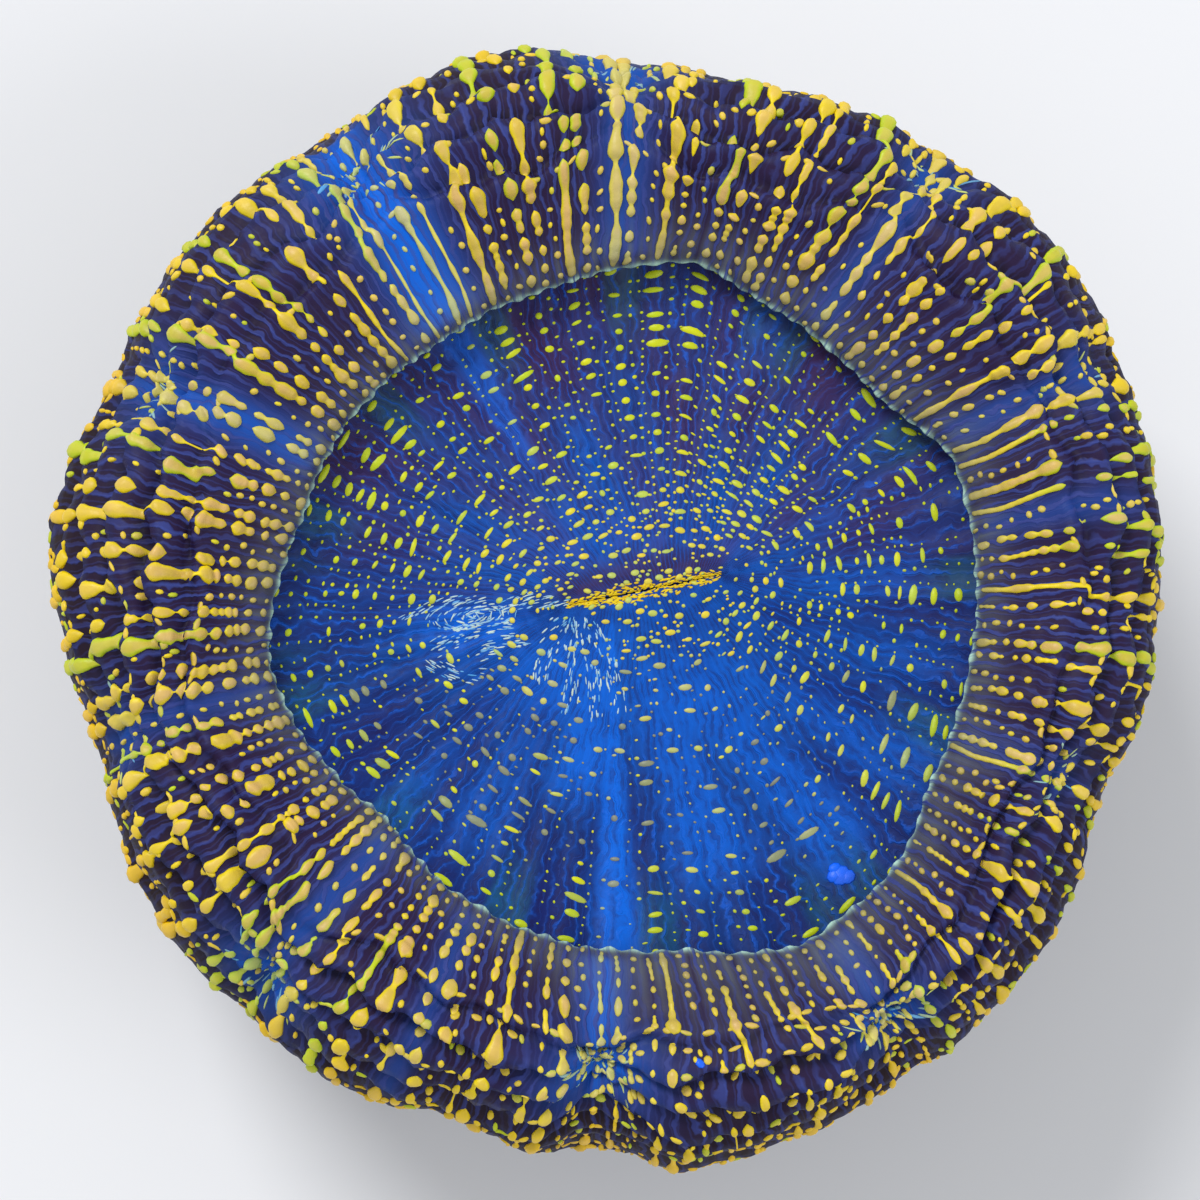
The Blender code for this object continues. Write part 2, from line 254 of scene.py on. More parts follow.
def skinPoint(degrees, place, relief=1.0):
    # points of the skin in millimetres, at these angles and rings
    ledges, pinch, flute, mouth = flesh["ledges"], flesh["pinch"], flesh["flute"], flesh["mouth"]
    along = fleshDistance(degrees, place)
    lip = readRing(lipRing, degrees)
    rim = readRing(rimRing, degrees) - flesh["beadReach"]
    slit, slitWidth, lipShare, band, fixed, height = (readMeridian(column, along) for column in stops.T)
    slopeOut = readMeridian(np.gradient(stopRadius, stopAlong), along)
    slopeUp = readMeridian(np.gradient(stopHeight, stopAlong), along)
    length = np.hypot(slopeOut, slopeUp) + 1e-9
    slopeOut, slopeUp = slopeOut / length, slopeUp / length
    groove, dimple, spread, turned, folds = pinchForms(degrees, along, lip + band * (rim - lip))

    # how far the skin stands out, and how far it slides along itself
    radians = np.radians(degrees)
    row = rowAt(degrees)
    strongRow, everyRow = np.cos(2 * math.pi * row / 3), np.cos(2 * math.pi * row)
    onMantle = plateau(along, (1.0, 6.0), (flesh["hemLength"] - 4, flesh["hemLength"]))
    onDisc = plateau(along, *flesh["discZone"])
    first, last = ledges["first"], ledges["last"]
    onLedges = plateau(place, (first - 3, first + 3), (last - 4, last))
    uneven = 1 + sum(
        share * np.sin(count * radians + twist * place) for count, twist, share in flesh["uneven"]
    )
    rise = ledges["height"] * onLedges * uneven * (1 - 0.5 * groove) * relief
    wave = ledgeWave(degrees, place)
    out = rise * wave
    slide = ledges["lean"] * rise * wave
    onTop = onMantle * (1 - 0.8 * ramp(*flesh["swellEnd"], along))
    out = out + onTop * (flesh["swell"] * (0.4 - spread) - pinch["groove"] * groove)
    out = out - onMantle * pinch["dimple"] * dimple
    out = out + relief * onMantle * (flesh["rib"] * (strongRow + 0.5 * everyRow) + folds)
    out = out + onDisc * (flesh["discRidge"] * strongRow * relief - flesh["discFold"] * (groove - 0.25))
    fluted = bell(place, flute["width"]) * flute["height"] * relief
    teeth = 0.8 * np.cos(radians * flute["teeth"] + 1.3 * np.sin(radians * 11)) + 0.5 * np.sin(radians * 31)
    slide = slide + fluted * (teeth + 0.4 * np.sin(radians * 67 + 1.0))
    out = out + 0.6 * fluted * teeth

    flat = lipShare * lip + band * (rim - lip) + fixed
    flat = flat - out * slopeUp + slide * slopeOut
    droop = flesh["droop"] * (0.5 - spread) * ramp(20.0, 36.0, along) * (1 - ramp(44.0, 50.0, along))
    height = height + stumpTop + out * slopeOut + slide * slopeUp - droop
    angle = radians + np.radians(turned)
    mouthTurn = math.radians(mouth["turn"])
    slitLong = slit * mouth["halfLength"] * np.cos(angle - mouthTurn)
    slitWide = slitWidth * np.sin(angle - mouthTurn)
    x = slit * mouth["x"] + slitLong * math.cos(mouthTurn) - slitWide * math.sin(mouthTurn)
    y = slit * mouth["y"] + slitLong * math.sin(mouthTurn) + slitWide * math.cos(mouthTurn)
    return np.stack([x + flat * np.cos(angle), y + flat * np.sin(angle), height], axis=-1)


def planOf(degrees, place):
    # x and y of the smooth skin
    return skinPoint(degrees, place, 0.0)[..., :2]


def skinNormal(degrees, place, relief=0.0, reach=0.25):
    # the outward normal, and how many millimetres a degree and a millimetre of place are there
    turn = reach * 360 / (2 * math.pi * 20)  # as long an arc, on a ring of 20 mm
    across = skinPoint(degrees + turn, place, relief) - skinPoint(degrees - turn, place, relief)
    outward = skinPoint(degrees, place + reach, relief) - skinPoint(degrees, place - reach, relief)
    normal = np.cross(outward, across)
    normal = normal / (np.linalg.norm(normal, axis=-1, keepdims=True) + 1e-12)
    perDegree = np.linalg.norm(across, axis=-1) / (2 * turn)
    perPlace = np.linalg.norm(outward, axis=-1) / (2 * reach)
    return normal, perDegree, perPlace


# where the tissue is bright blue: on the disc as rays and pools, on the mantle at the pinches
blue = {
    "rays": [  # angle, half width in degrees, from radius, to radius, strength
        (271, 3.2, 1, 23, 1.0), (262, 10, 1, 13, 0.9), (292, 8, 2, 19, 0.75), (313, 6, 4, 22, 0.7),
        (330, 5, 4, 23, 0.5), (348, 4, 6, 22, 0.3), (4, 4, 5, 20, 0.35), (240, 6, 2, 18, 0.4),
        (100, 6, 3, 12, 0.3), (121, 3, 9, 20, 0.6), (60, 4, 14, 21, 0.2), (35, 5, 3, 14, 0.25),
        (225, 3, 8, 19, 0.3), (20, 3, 6, 16, 0.25),
    ],
    # centre, reach along x and y, strength
    "pools": [
        (-8.5, -2.2, 4.2, 1.9, 1.0), (-2.5, -5.0, 5.0, 3.6, 0.95), (5.5, -6.5, 7.0, 4.2, 0.8),
        (1, 1.0, 11, 7, 0.5),
    ],
    "stripes": [  # across the mantle: angle, half width in millimetres, down to this place, strength
        (122, 2.3, 17, 1.0), (268, 1.4, 12, 0.8), (157, 1.5, 15, 0.6), (228, 1.1, 18, 0.4),
        (89, 1.6, 20, 0.45), (302, 1.3, 12, 0.4), (53, 1.1, 17, 0.35), (25, 1.2, 12, 0.35),
        (197, 1.0, 18, 0.3), (337, 1.0, 12, 0.2), (246, 0.9, 16, 0.3), (10, 1.0, 9, 0.3),
    ],
    "dimples": [  # angle, place, reach, strength
        (268, 10.3, 3.4, 1.0), (302, 10.5, 3.0, 0.85), (228, 15.8, 3.4, 0.85), (122, 12.6, 4.0, 0.9),
        (157, 12.8, 3.2, 0.6), (89, 17.5, 3.6, 0.75), (53, 14.0, 2.6, 0.5), (197, 15.6, 2.6, 0.5),
        (25, 12.0, 2.4, 0.4), (337, 11.0, 2.2, 0.3),
    ],
}


def blueness(degrees, place):
    x, y = np.moveaxis(planOf(degrees, place), -1, 0)
    angle, radius = np.degrees(np.arctan2(y, x)), np.hypot(x, y)
    shade = np.zeros(np.shape(place))
    for centre, halfWidth, start, end, strength in blue["rays"]:
        inside = plateau(radius, (start - 2, start + 2), (end - 2, end + 2))
        across = np.minimum(1.5 * nearAngle(angle, centre, halfWidth), 1)
        shade = np.maximum(shade, strength * inside * across)
    for *oval, strength in blue["pools"]:
        shade = np.maximum(shade, strength * bell(ovalShare(x, y, *oval), 1.0))
    shade = shade * (1 - ramp(-0.8, 0.2, place))
    for centre, halfWidth, end, strength in blue["stripes"]:
        away = np.radians(turnFrom(degrees, centre)) * radius
        inside = plateau(place, (0.3, 1.5), (end, end + 5))
        shade = np.maximum(shade, strength * inside * bell(away, halfWidth))
    for centre, at, reach, strength in blue["dimples"]:
        away = np.radians(turnFrom(degrees, centre)) * radius
        shade = np.maximum(shade, strength * bell(np.hypot(away, place - at), reach) * ramp(1, 3, place))
    return np.clip(shade, 0, 1)


tones = {
    "discDark": linear(14, 34, 104),
    "discPlum": linear(58, 36, 80),
    "discMid": linear(8, 68, 146),
    "teal": linear(34, 112, 128),
    "blue": linear(0, 102, 220),
    "mantle": linear(40, 26, 62),
    "mantleOuter": linear(36, 22, 28),
    # painted shade: the dark tone laid in the steps below the ledges and under the lip
    "step": linear(18, 8, 26),
    "edge": linear(40, 54, 104),
    "veil": linear(92, 98, 108),
    "lipLine": linear(196, 238, 216),
    # painted shade: dark inside the throat and in a band above the mouth's slit
    "throat": linear(58, 22, 40),
    "hem": linear(46, 44, 84),
    "underside": linear(76, 76, 108),
}


def blend(first, second, share):
    share = np.asarray(share)[..., None]
    return first * (1 - share) + second * share


def layered(tone, layers):
    # each layer is a tone and how much of it covers what lies below
    for shade, share in layers:
        tone = blend(tone, shade, share)
    return tone


def veil(degrees, place):
    # the thin greyish fold behind the lip, which is wider on some sides
    fold = flesh["veil"]
    reach = sideShare(fold["sides"], degrees, fold["width"])
    return bell(np.maximum(place - fold["start"], 0), reach) * (place > -fold["start"])


def skinTone(degrees, place):
    rows = rowAt(degrees)
    radians = np.radians(degrees)
    patch = 0.5 + 0.25 * np.sin(7 * radians + 0.35 * place) + 0.25 * np.sin(17 * radians - 0.5 * place + 1.3)
    stacked = ramp(0.2, 0.9, np.sin(13 * radians + 0.9) + 0.5 * np.sin(29 * radians))
    wave, onLedges = ledgeWave(degrees, place), ramp(5, 9, place)
    folds = 0.5 + 0.4 * np.cos(2 * math.pi * rows) * np.sin(rows * 1.3)
    aboveSlit = ramp(0.1, 0.7, np.sin(radians - math.radians(flesh["mouth"]["turn"])))
    disc = blend(tones["discDark"], tones["discPlum"], ramp(-0.3, 0.6, np.sin(radians)))
    mantle = layered(tones["mantle"], [
        (tones["mantleOuter"], ramp(8, 20, place)),
        # painted shade in the step below each ledge's edge
        (tones["step"], ramp(0.1, -0.8, wave) * onLedges * 0.8),
        (tones["edge"], ramp(0.75, 1.0, wave) * onLedges * 0.4),
    ])
    return layered(disc, [
        (tones["discMid"], patch * (1 - 0.45 * ramp(-15, -5, place))),
        (tones["teal"], bell(place + 4.0, 2.4) * stacked * 0.35),
        (mantle, ramp(-0.4, 0.4, place)),
        (tones["blue"], blueness(degrees, place) * 0.95),
        (tones["veil"], veil(degrees, place) * folds),
        (tones["lipLine"], bell(place - 0.05, 0.24) * (0.8 + 0.2 * np.sin(rows * 2.3))),
        (tones["step"], bell(place + 1.3, 0.7) * 0.8),  # the shade under the lip
        # painted shade above the mouth's slit, then inside the throat
        (tones["throat"], bell(place - slitEdge - 1.1, 0.9) * aboveSlit * 0.8),
        (tones["throat"], 1 - ramp(stopAlong[flesh["slitStop"] - 1], slitEdge + 0.3, place)),
        (tones["hem"], ramp(30, 38, place)),
        (tones["underside"], ramp(41, 47, place)),
    ])


def addPaintLayer(mesh, name, tone):
    layer = mesh.attributes.new(name, "FLOAT_COLOR", "POINT")
    colours = np.ones((len(mesh.vertices), 4), np.float32)
    colours[:, :3] = tone
    layer.data.foreach_set("color", colours.ravel())


def meshOf(bm, name):
    mesh = bpy.data.meshes.new(name)
    bm.to_mesh(mesh)
    bm.free()
    return mesh


def addObject(name, data):
    obj = bpy.data.objects.new(name, data)
    bpy.context.scene.collection.objects.link(obj)
    return obj


def addPiece(name, mesh, material, slotName, *replaced):
    mesh.materials.append(material)
    mesh.shade_smooth()
    obj = addObject(name, mesh)
    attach(obj, "root")
    if replaced:
        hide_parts(*replaced)
    mesh.calc_loop_triangles()
    print(name, len(mesh.loop_triangles), "triangles")


def rollSheet(name, columns, ringCount, shape):
    # a flat sheet rolled into a closed form: from each vertex's share of half a turn and its ring, shape
    # gives its point in millimetres and what else is kept there
    bm = bmesh.new()
    bmesh.ops.create_grid(bm, x_segments=columns, y_segments=ringCount - 1, size=1.0)
    sheet = np.array([vertex.co[:2] for vertex in bm.verts])
    rings = np.rint((sheet[:, 1] + 1) / 2 * (ringCount - 1)).astype(int)
    points, kept = shape(sheet[:, 0] + 1, rings)
    layers = [bm.verts.layers.float.new(key) for key in kept]
    for vertex, point, *values in zip(bm.verts, points * mm, *kept.values()):
        vertex.co = point
        for layer, value in zip(layers, values):
            vertex[layer] = value
    bmesh.ops.remove_doubles(bm, verts=bm.verts, dist=weld)
    bmesh.ops.recalc_face_normals(bm, faces=bm.faces)
    return meshOf(bm, name)


class Maths:
    # one socket, so that masks are added and multiplied as plain sums
    def __init__(self, paint, socket):
        self.paint = paint
        self.socket = socket

    def work(self, operation, first, second=0.0):
        node = self.paint.add("ShaderNodeMath", {"operation": operation}, {0: first, 1: second})
        return Maths(self.paint, node.outputs[0])

    def __add__(self, other):
        return self.work("ADD", self, other)

    def __rsub__(self, other):
        return self.work("SUBTRACT", other, self)

    def __mul__(self, other):
        return self.work("MULTIPLY", self, other)

    def cosine(self):
        return self.work("COSINE", self)

    def between(self, low, high, start=0.0, end=1.0):
        node = self.paint.add(
            "ShaderNodeMapRange",
            {"interpolation_type": "SMOOTHSTEP"},
            {0: self, 1: low, 2: high, 3: start, 4: end},
        )
        return Maths(self.paint, node.outputs[0])


class Paint:
    # a material and the nodes that are added to it
    def __init__(self, name):
        self.material = bpy.data.materials.new(name)
        self.material.use_nodes = True
        self.tree = self.material.node_tree
        self.shader = self.tree.nodes["Principled BSDF"]

    def feed(self, socket, value):
        if isinstance(value, Maths):
            value = value.socket
        if isinstance(value, bpy.types.NodeSocket):
            self.tree.links.new(value, socket)
        else:
            socket.default_value = value

    def add(self, kind, settings, sockets):
        node = self.tree.nodes.new(kind)
        for name, value in settings.items():
            setattr(node, name, value)
        for name, value in sockets.items():
            self.feed(node.inputs[name], value)
        return node

    def set(self, **values):
        for name, value in values.items():
            self.feed(self.shader.inputs[name.replace("_", " ")], value)

    def layer(self, name):
        return self.add("ShaderNodeAttribute", {"attribute_name": name}, {}).outputs["Color"]

    def noise(self, vector, scale, detail=2.0):
        node = self.add("ShaderNodeTexNoise", {}, {"Vector": vector, "Scale": scale, "Detail": detail})
        return Maths(self, node.outputs["Fac"])

    def mix(self, share, first, second):
        colours = {"data_type": "RGBA"}
        return self.add("ShaderNodeMix", colours, {0: share, 6: first, 7: second}).outputs[2]

    def bump(self, height, distance):
        sockets = {"Height": height, "Distance": distance, "Strength": 1.0}
        return self.add("ShaderNodeBump", {}, sockets).outputs[0]

    def objectPlace(self):
        return self.add("ShaderNodeTexCoord", {}, {}).outputs["Object"]

    def finish(self, look, tone, grain, height):
        rough = grain.between(0.2, 0.8, *look["roughness"])
        self.set(Base_Color=tone, Roughness=rough, Specular_IOR_Level=look["specular"])
        self.set(Normal=self.bump(height, look["bump"]))
        return self.material


def rgba(*shares):
    return (*linear(*shares), 1.0)


fleshFinish = {
    "mantleLine": (56, 68, 138),
    "discLine": (20, 92, 206),
    "discDark": (26, 12, 60),
    "roughness": (0.48, 0.62),
    "specular": 0.15,
    "bump": 0.00005,
}


def fleshPaint():
    paint = Paint("living_flesh_detail")
    flow = paint.add("ShaderNodeUVMap", {"uv_map": "flow"}, {}).outputs[0]
    parts = paint.add("ShaderNodeSeparateXYZ", {}, {0: flow})
    row, place = Maths(paint, parts.outputs[0]), Maths(paint, parts.outputs[1])
    where = paint.objectPlace()
    wobble = paint.noise(where, 330.0) + paint.noise(where, 1100.0) * 0.3
    onDisc = place.between(-0.6, 0.0, 1.0, 0.0)
    base = paint.layer("skinTone")
    # mantle: wavy blue lines between the rows, with fainter ones beside them
    mantleWave = ((row * 1.5 + wobble * 2.4) * (2 * math.pi)).cosine()
    fineWave = ((row * 3 + wobble * 3.0) * (2 * math.pi)).cosine()
    strength = paint.noise(where, 260.0).between(0.32, 0.62, 0.35, 1.0)
    mantleLine = (mantleWave.between(0.25, 0.9) + fineWave.between(0.5, 1.0) * 0.35) * strength * (1 - onDisc)
    tone = paint.mix(mantleLine * place.between(8.0, 22.0, 0.8, 0.4), base, rgba(*fleshFinish["mantleLine"]))
    # disc: lines that zigzag between the rows of spots, light and dark
    zigzag = wobble * 2.2 + paint.noise(where, 760.0, 3.0) * 1.9
    discWave = ((row + zigzag) * (2 * math.pi)).cosine()
    fineDisc = ((row * 2 + zigzag * 1.6) * (2 * math.pi)).cosine()
    broken = paint.noise(where, 900.0, 3.0).between(0.38, 0.6, 0.25, 1.0) * onDisc
    discLine = (discWave.between(0.5, 0.98) * strength + fineDisc.between(0.6, 1.0) * 0.5) * broken
    discDark = (discWave.between(0.2, -0.8) + fineDisc.between(-0.5, -1.0) * 0.5) * broken
    tone = paint.mix(discLine * 0.5, tone, rgba(*fleshFinish["discLine"]))
    tone = paint.mix(discDark * 0.42, tone, rgba(*fleshFinish["discDark"]))
    grain = paint.noise(where, 2600.0, 3.0)
    return paint.finish(fleshFinish, tone, grain, (mantleLine + discLine) * 0.7 + grain * 0.4)


beadFinish = {"mottle": (110, 88, 24), "roughness": (0.38, 0.5), "specular": 0.35, "bump": 0.00003}


def beadPaint(name):
    paint = Paint(name)
    where = paint.objectPlace()
    mottle = paint.noise(where, 900.0).between(0.3, 0.7)
    tone = paint.mix(mottle * 0.14, paint.layer("tone"), rgba(*beadFinish["mottle"]))
    grain = paint.noise(where, 3500.0)
    return paint.finish(beadFinish, tone, grain, grain)


def ringPlaces():
    # rings lie closer where the skin is finer: from and to this place, how many
    start = flesh["ledges"]["first"] - 1.3
    spans = [
        (stopAlong[0], stopAlong[1], 2), (stopAlong[1], -20.0, 8), (-20.0, -2.0, 40), (-2.0, -0.4, 5),
        (-0.4, 0.5, 10), (0.5, 1.2, 3), (1.2, start, 9), (start, 37.8, 78), (37.8, stopAlong[-2], 12),
    ]
    places = [np.linspace(*span, endpoint=False) for span in spans]
    return np.append(np.concatenate(places), [stopAlong[-2], stopAlong[-1]])


def makeFlesh():
    # columns of the sheet run round the mouth, and its rings from the throat down to the underside
    places = ringPlaces()

    def shape(turns, rings):
        degrees = turns * 180
        skin = skinPoint(degrees, places[rings])
        skin[rings == len(places) - 1, :2] = 0
        skin[rings == 0, :2] = (flesh["mouth"]["x"], flesh["mouth"]["y"])
        return skin, {"degrees": degrees % 360, "place": places[rings]}

    mesh = rollSheet("flesh", flesh["columns"], len(places), shape)
    kept = np.empty((2, len(mesh.vertices)), np.float32)
    for name, values in zip(("degrees", "place"), kept):
        mesh.attributes[name].data.foreach_get("value", values)
        mesh.attributes.remove(mesh.attributes[name])
    degrees, place = kept.astype(float)
    degrees[degrees > 359.9] = 0.0
    addPaintLayer(mesh, "skinTone", skinTone(degrees, place))

    # the flow map: rows across, millimetres of place along
    loops = np.empty(len(mesh.loops), np.int32)
    mesh.loops.foreach_get("vertex_index", loops)
    faceOf = np.repeat(np.arange(len(mesh.polygons)), [len(p.vertices) for p in mesh.polygons])
    rows = rowAt(degrees[loops])
    highest = np.zeros(len(mesh.polygons))
    np.maximum.at(highest, faceOf, rows)
    rows = np.where(highest[faceOf] - rows > flesh["rows"] / 2, rows + flesh["rows"], rows)
    flow = mesh.uv_layers.new(name="flow")
    flow.data.foreach_set("uv", np.stack([rows, place[loops]], axis=-1).astype(np.float32).ravel())
    addPiece("fleshy_polyp", mesh, fleshPaint(), "living_flesh", "polyp")


def addMarks(name, points, faces, tone, material):
    mesh = bpy.data.meshes.new(name)
    mesh.from_pydata((points * mm).reshape(-1, 3), [], faces)
    bm = bmesh.new()
    bm.from_mesh(mesh)
    bmesh.ops.recalc_face_normals(bm, faces=bm.faces)
    bm.to_mesh(mesh)
    bm.free()
    addPaintLayer(mesh, "tone", tone.reshape(-1, 3))
    addPiece(name, mesh, material, "living_flesh")


def domeFaces(segments, ringCount):
    # corners of the faces: a fan round the top, bands between the rings, and one face below
    def corner(ring, number):
        return 1 + ring * segments + number % segments

    faces = [(0, corner(0, i), corner(0, i + 1)) for i in range(segments)]
    for k in range(ringCount - 1):
        faces += [
            (corner(k, i), corner(k + 1, i), corner(k + 1, i + 1), corner(k, i + 1)) for i in range(segments)
        ]
    return faces + [tuple(corner(ringCount - 1, i) for i in reversed(range(segments)))]


def layDomes(name, marks, shape, material):
    # rounded marks laid on the skin: each follows the skin's relief, and stands a little out of it. A mark
    # is its angle, place, half sizes across and along, turn, height, and its tones inside and at the edge
    segments, rings = shape["segments"], shape["rings"]
    turns = np.arange(segments) * 2 * math.pi / segments
    across = np.concatenate([[0.0]] + [share * np.cos(turns) for share, _ in rings])
    along = np.concatenate([[0.0]] + [share * np.sin(turns) for share, _ in rings])
    rise = np.concatenate([[1.0]] + [np.full(segments, level) for _, level in rings])
    share = np.concatenate([[0.0]] + [np.full(segments, share) for share, _ in rings])
    columns = [np.array(column)[:, None] for column in zip(*marks)]
    degrees, place, wide, long, turn, height, inner, edge = columns
    _, perDegree, perPlace = skinNormal(degrees, place)
    u, v = across * wide, along * long
    degrees = degrees + (u * np.cos(turn) - v * np.sin(turn)) / np.maximum(perDegree, 0.02)
    place = place + (u * np.sin(turn) + v * np.cos(turn)) / np.maximum(perPlace, 0.05)
    normal, _, _ = skinNormal(degrees, place)
    lift = np.where(rise > 0, rise * height, -shape["sunk"])
    points = skinPoint(degrees, place) + normal * lift[..., None]
    tone = blend(inner, edge, ramp(0.35, 0.95, share)[None, :] * np.ones((len(marks), 1)))
    faces, size = domeFaces(segments, len(rings)), len(rise)
    everyFace = [tuple(index + size * n for index in face) for n in range(len(marks)) for face in faces]
    addMarks(name, points, everyFace, tone, material)


# the mantle's rows of beads: each row is a strand that swells into beads and thins to threads
strands = {
    "seed": 31,
    "start": 0.25,
    "last": 37.5,
    "step": 0.13,  # from one station of a strand to the next
    "thinnest": 0.035,  # a strand is broken off where it is thinner than this
    "widest": 0.66,
    # cross section: share of the half width, share of the height
    "section": [(-1.0, 0.0), (-0.85, 0.55), (-0.38, 0.95), (0.38, 0.95), (0.85, 0.55), (1.0, 0.0)],
    "sunk": 0.1,
    "lift": (0.62, 0.42),  # height as a share of the half width, and the most it may be
    "tailed": 0.16,  # share of the beads on ledges that taper towards the lip
    "tail": (1.8, 3.0),  # their reach towards the lip, in half widths
    "round": (0.9, 1.4),  # and that of the others
    "tile": (1.15, 0.75),  # half width and reach of a tile, in half widths of its bead
    "strong": {
        "bead": (0.31, 0.55), "bar": (0.30, 0.52), "edge": (0.36, 0.72), "thread": (0.09, 0.19),
        "onEdge": 0.95, "inStep": 0.85, "threaded": 0.55, "jog": 0.6,
    },
    "medium": {
        "bead": (0.24, 0.44), "bar": (0.20, 0.32), "edge": (0.28, 0.54), "thread": (0.055, 0.12),
        "onEdge": 0.92, "inStep": 0.75, "threaded": 0.3, "jog": 0.35,
    },
    "barSides": [(17, 11, 0.8), (118, 14, 0.7), (98, 10, 0.3)],  # angle, spread, share
    "limeSides": [(12, 16, 0.5), (92, 14, 0.35), (222, 12, 0.3)],
    "tileSides": [(285, 32, 1.0), (240, 14, 0.5), (100, 14, 0.3)],  # where the beads are wide and short
    "threadSides": [(120, 55, 0.6), (45, 30, 0.5), (190, 35, 0.4)],  # where threads join the beads
    "parted": 0.6,  # share of the inner beads that stand clear of the next
    "fullSides": [
        (180, 42, 0.38), (92, 26, 0.20), (225, 20, 0.14), (46, 24, 0.20), (284, 24, -0.25), (325, 24, -0.13),
        (0, 18, -0.07),
    ],
    "yellow": linear(246, 220, 0),
    "orange": linear(242, 188, 0),
    "lime": linear(184, 216, 6),
    "peach": linear(220, 176, 112),
    "tan": linear(212, 180, 70),
    "veiled": linear(146, 144, 104),
    "inBlue": linear(168, 200, 160),
}


def rowKind(row):
    return ("strong", "weak", "medium")[row % 3]


def between(dice, low, high):
    return low + (high - low) * dice.random()


def strandSwellings(dice, sizes, bars, tiles):
    # middle, reach towards the lip, reach outwards and half width of each bead or bar
    ledges = flesh["ledges"]
    place = between(dice, 0.3, 0.7)
    while place < ledges["first"] - 1.0:
        width = between(dice, *sizes["bar" if bars else "bead"]) * (0.80 + 0.20 * ramp(1, 5, place))
        reach = between(dice, 0.5, 1.3) if bars else width * between(dice, 0.75, 1.3)
        yield place + reach, reach, reach, width
        place += reach * 2 + (between(dice, 0.22, 0.6) if dice.random() < strands["parted"] else 0)
    for edge in ledgeEdges(strands["last"]):
        if dice.random() < sizes["onEdge"]:
            width = between(dice, *sizes["edge"])
            inner = width * between(dice, *strands["tail" if dice.random() < strands["tailed"] else "round"])
            if dice.random() < tiles:
                width, inner = width * strands["tile"][0], width * strands["tile"][1]
            yield edge - between(dice, 0.1, 0.4), inner, min(width, 0.6) * 0.8, width
        middle = edge + between(dice, 0.36, 0.46) * ledges["pitch"]
        while dice.random() < sizes["inStep"] and middle < edge + 0.78 * ledges["pitch"]:
            width = between(dice, *sizes["bead"])
            yield middle, width * 0.95, width * 0.95, width
            middle += width * 2 + 0.2


def strandPath(dice, jog):
    # sideways and outward millimetres: a strand wavers from the lip, and jogs sideways at each ledge
    sway = between(dice, -0.14, 0.14)
    path = [(sway, strands["start"]), (-sway, 2.4), (sway, flesh["ledges"]["first"] - 1.2)]
    for edge in ledgeEdges(strands["last"] - 1):
        path += [(sway, edge - 0.5), (sway, edge + 0.35)]
        sway = between(dice, -jog, jog)
        path.append((sway, edge + 0.8))
    path.append((sway, strands["last"]))
    corners = np.array(path)
    lengths = np.concatenate([[0.0], np.cumsum(np.hypot(*np.diff(corners, axis=0).T))])
    stations = np.arange(0, lengths[-1], strands["step"])
    curve = [np.interp(stations, lengths, column) for column in corners.T]
    window = np.hanning(11)[1:-1]
    return [np.convolve(np.pad(column, 4, "edge"), window / window.sum(), "valid") for column in curve]


def strandStations(row):
    # one row's stations: angle of the row, sideways and outward place, half width, shade, and whether it is
    # lime green
    dice = np.random.default_rng((strands["seed"], row))
    sizes, ledges = strands[rowKind(row)], flesh["ledges"]
    degrees = angleOf(row + between(dice, -0.12, 0.12))
    bars = dice.random() < sideShare(strands["barSides"], degrees, 0.08)
    lime = dice.random() < sideShare(strands["limeSides"], degrees, 0.12)
    tiles = sideShare(strands["tileSides"], degrees, 0.05)
    scale = between(dice, 0.87, 1.13) * sideShare(strands["fullSides"], degrees, 0.88)
    across, place = strandPath(dice, sizes["jog"])
    steps = int((strands["last"] - ledges["first"]) / ledges["pitch"]) + 2
    threaded = sizes["threaded"] * sideShare(strands["threadSides"], degrees, 0.35)
    threads = [between(dice, *sizes["thread"]) if dice.random() < threaded else 0 for _ in range(steps)]
    threads[0] = sizes["bar"][0] * 0.6 if bars else 0
    step = np.clip((place - ledges["first"]) / ledges["pitch"] + 1, 0, steps - 1).astype(int)
    width = np.array(threads)[step] * (1.6 if lime else 1)
    for middle, inner, outer, half in strandSwellings(dice, sizes, bars, tiles):
        away = (place - middle) / np.where(place < middle, inner, outer)
        rounded = np.sqrt(np.clip(1 - away**2, 0, 1))
        tail = np.clip(1 - np.abs(away), 0, 1)
        pointed = (place < middle) & (inner > 1.5 * half) & (not bars or place > ledges["first"] - 2)
        width = np.maximum(width, min(half * scale, strands["widest"]) * np.where(pointed, tail, rounded))
    width = width * (0.92 + 0.08 * np.sin(place * 9.0 + row))
    width[1:-1] = width[:-2] * 0.2 + width[1:-1] * 0.6 + width[2:] * 0.2
    width[[0, -1]] = 0
    degrees, lime = np.full(len(place), degrees), np.full(len(place), lime)
    return [degrees, across, place, width, dice.random(len(place)), lime]


def strandTones(degrees, place, width, shade, lime):
    # the tone along the crest and the tone along the sides
    bluer = blueness(degrees, place)
    shade = np.convolve(np.pad(shade, 5, "edge"), np.full(11, 1 / 11), "valid")
    sides = layered(strands["yellow"], [
        (strands["orange"], ramp(12, 22, place) * 0.7),
        (strands["lime"], lime * 0.85 * ramp(3, 8, place)),
    ])
    crest = blend(strands["peach"], strands["tan"], ramp(0.35, 0.65, shade))
    crest = blend(crest, sides, 0.1 + 0.6 * ramp(7, 18, place))
    crest = blend(sides, crest, ramp(0.12, 0.30, width))
    over = [(strands["veiled"], veil(degrees, place) * 0.75), (strands["inBlue"], bluer * 0.6)]
    return [layered(tone, over) for tone in (crest, sides)]


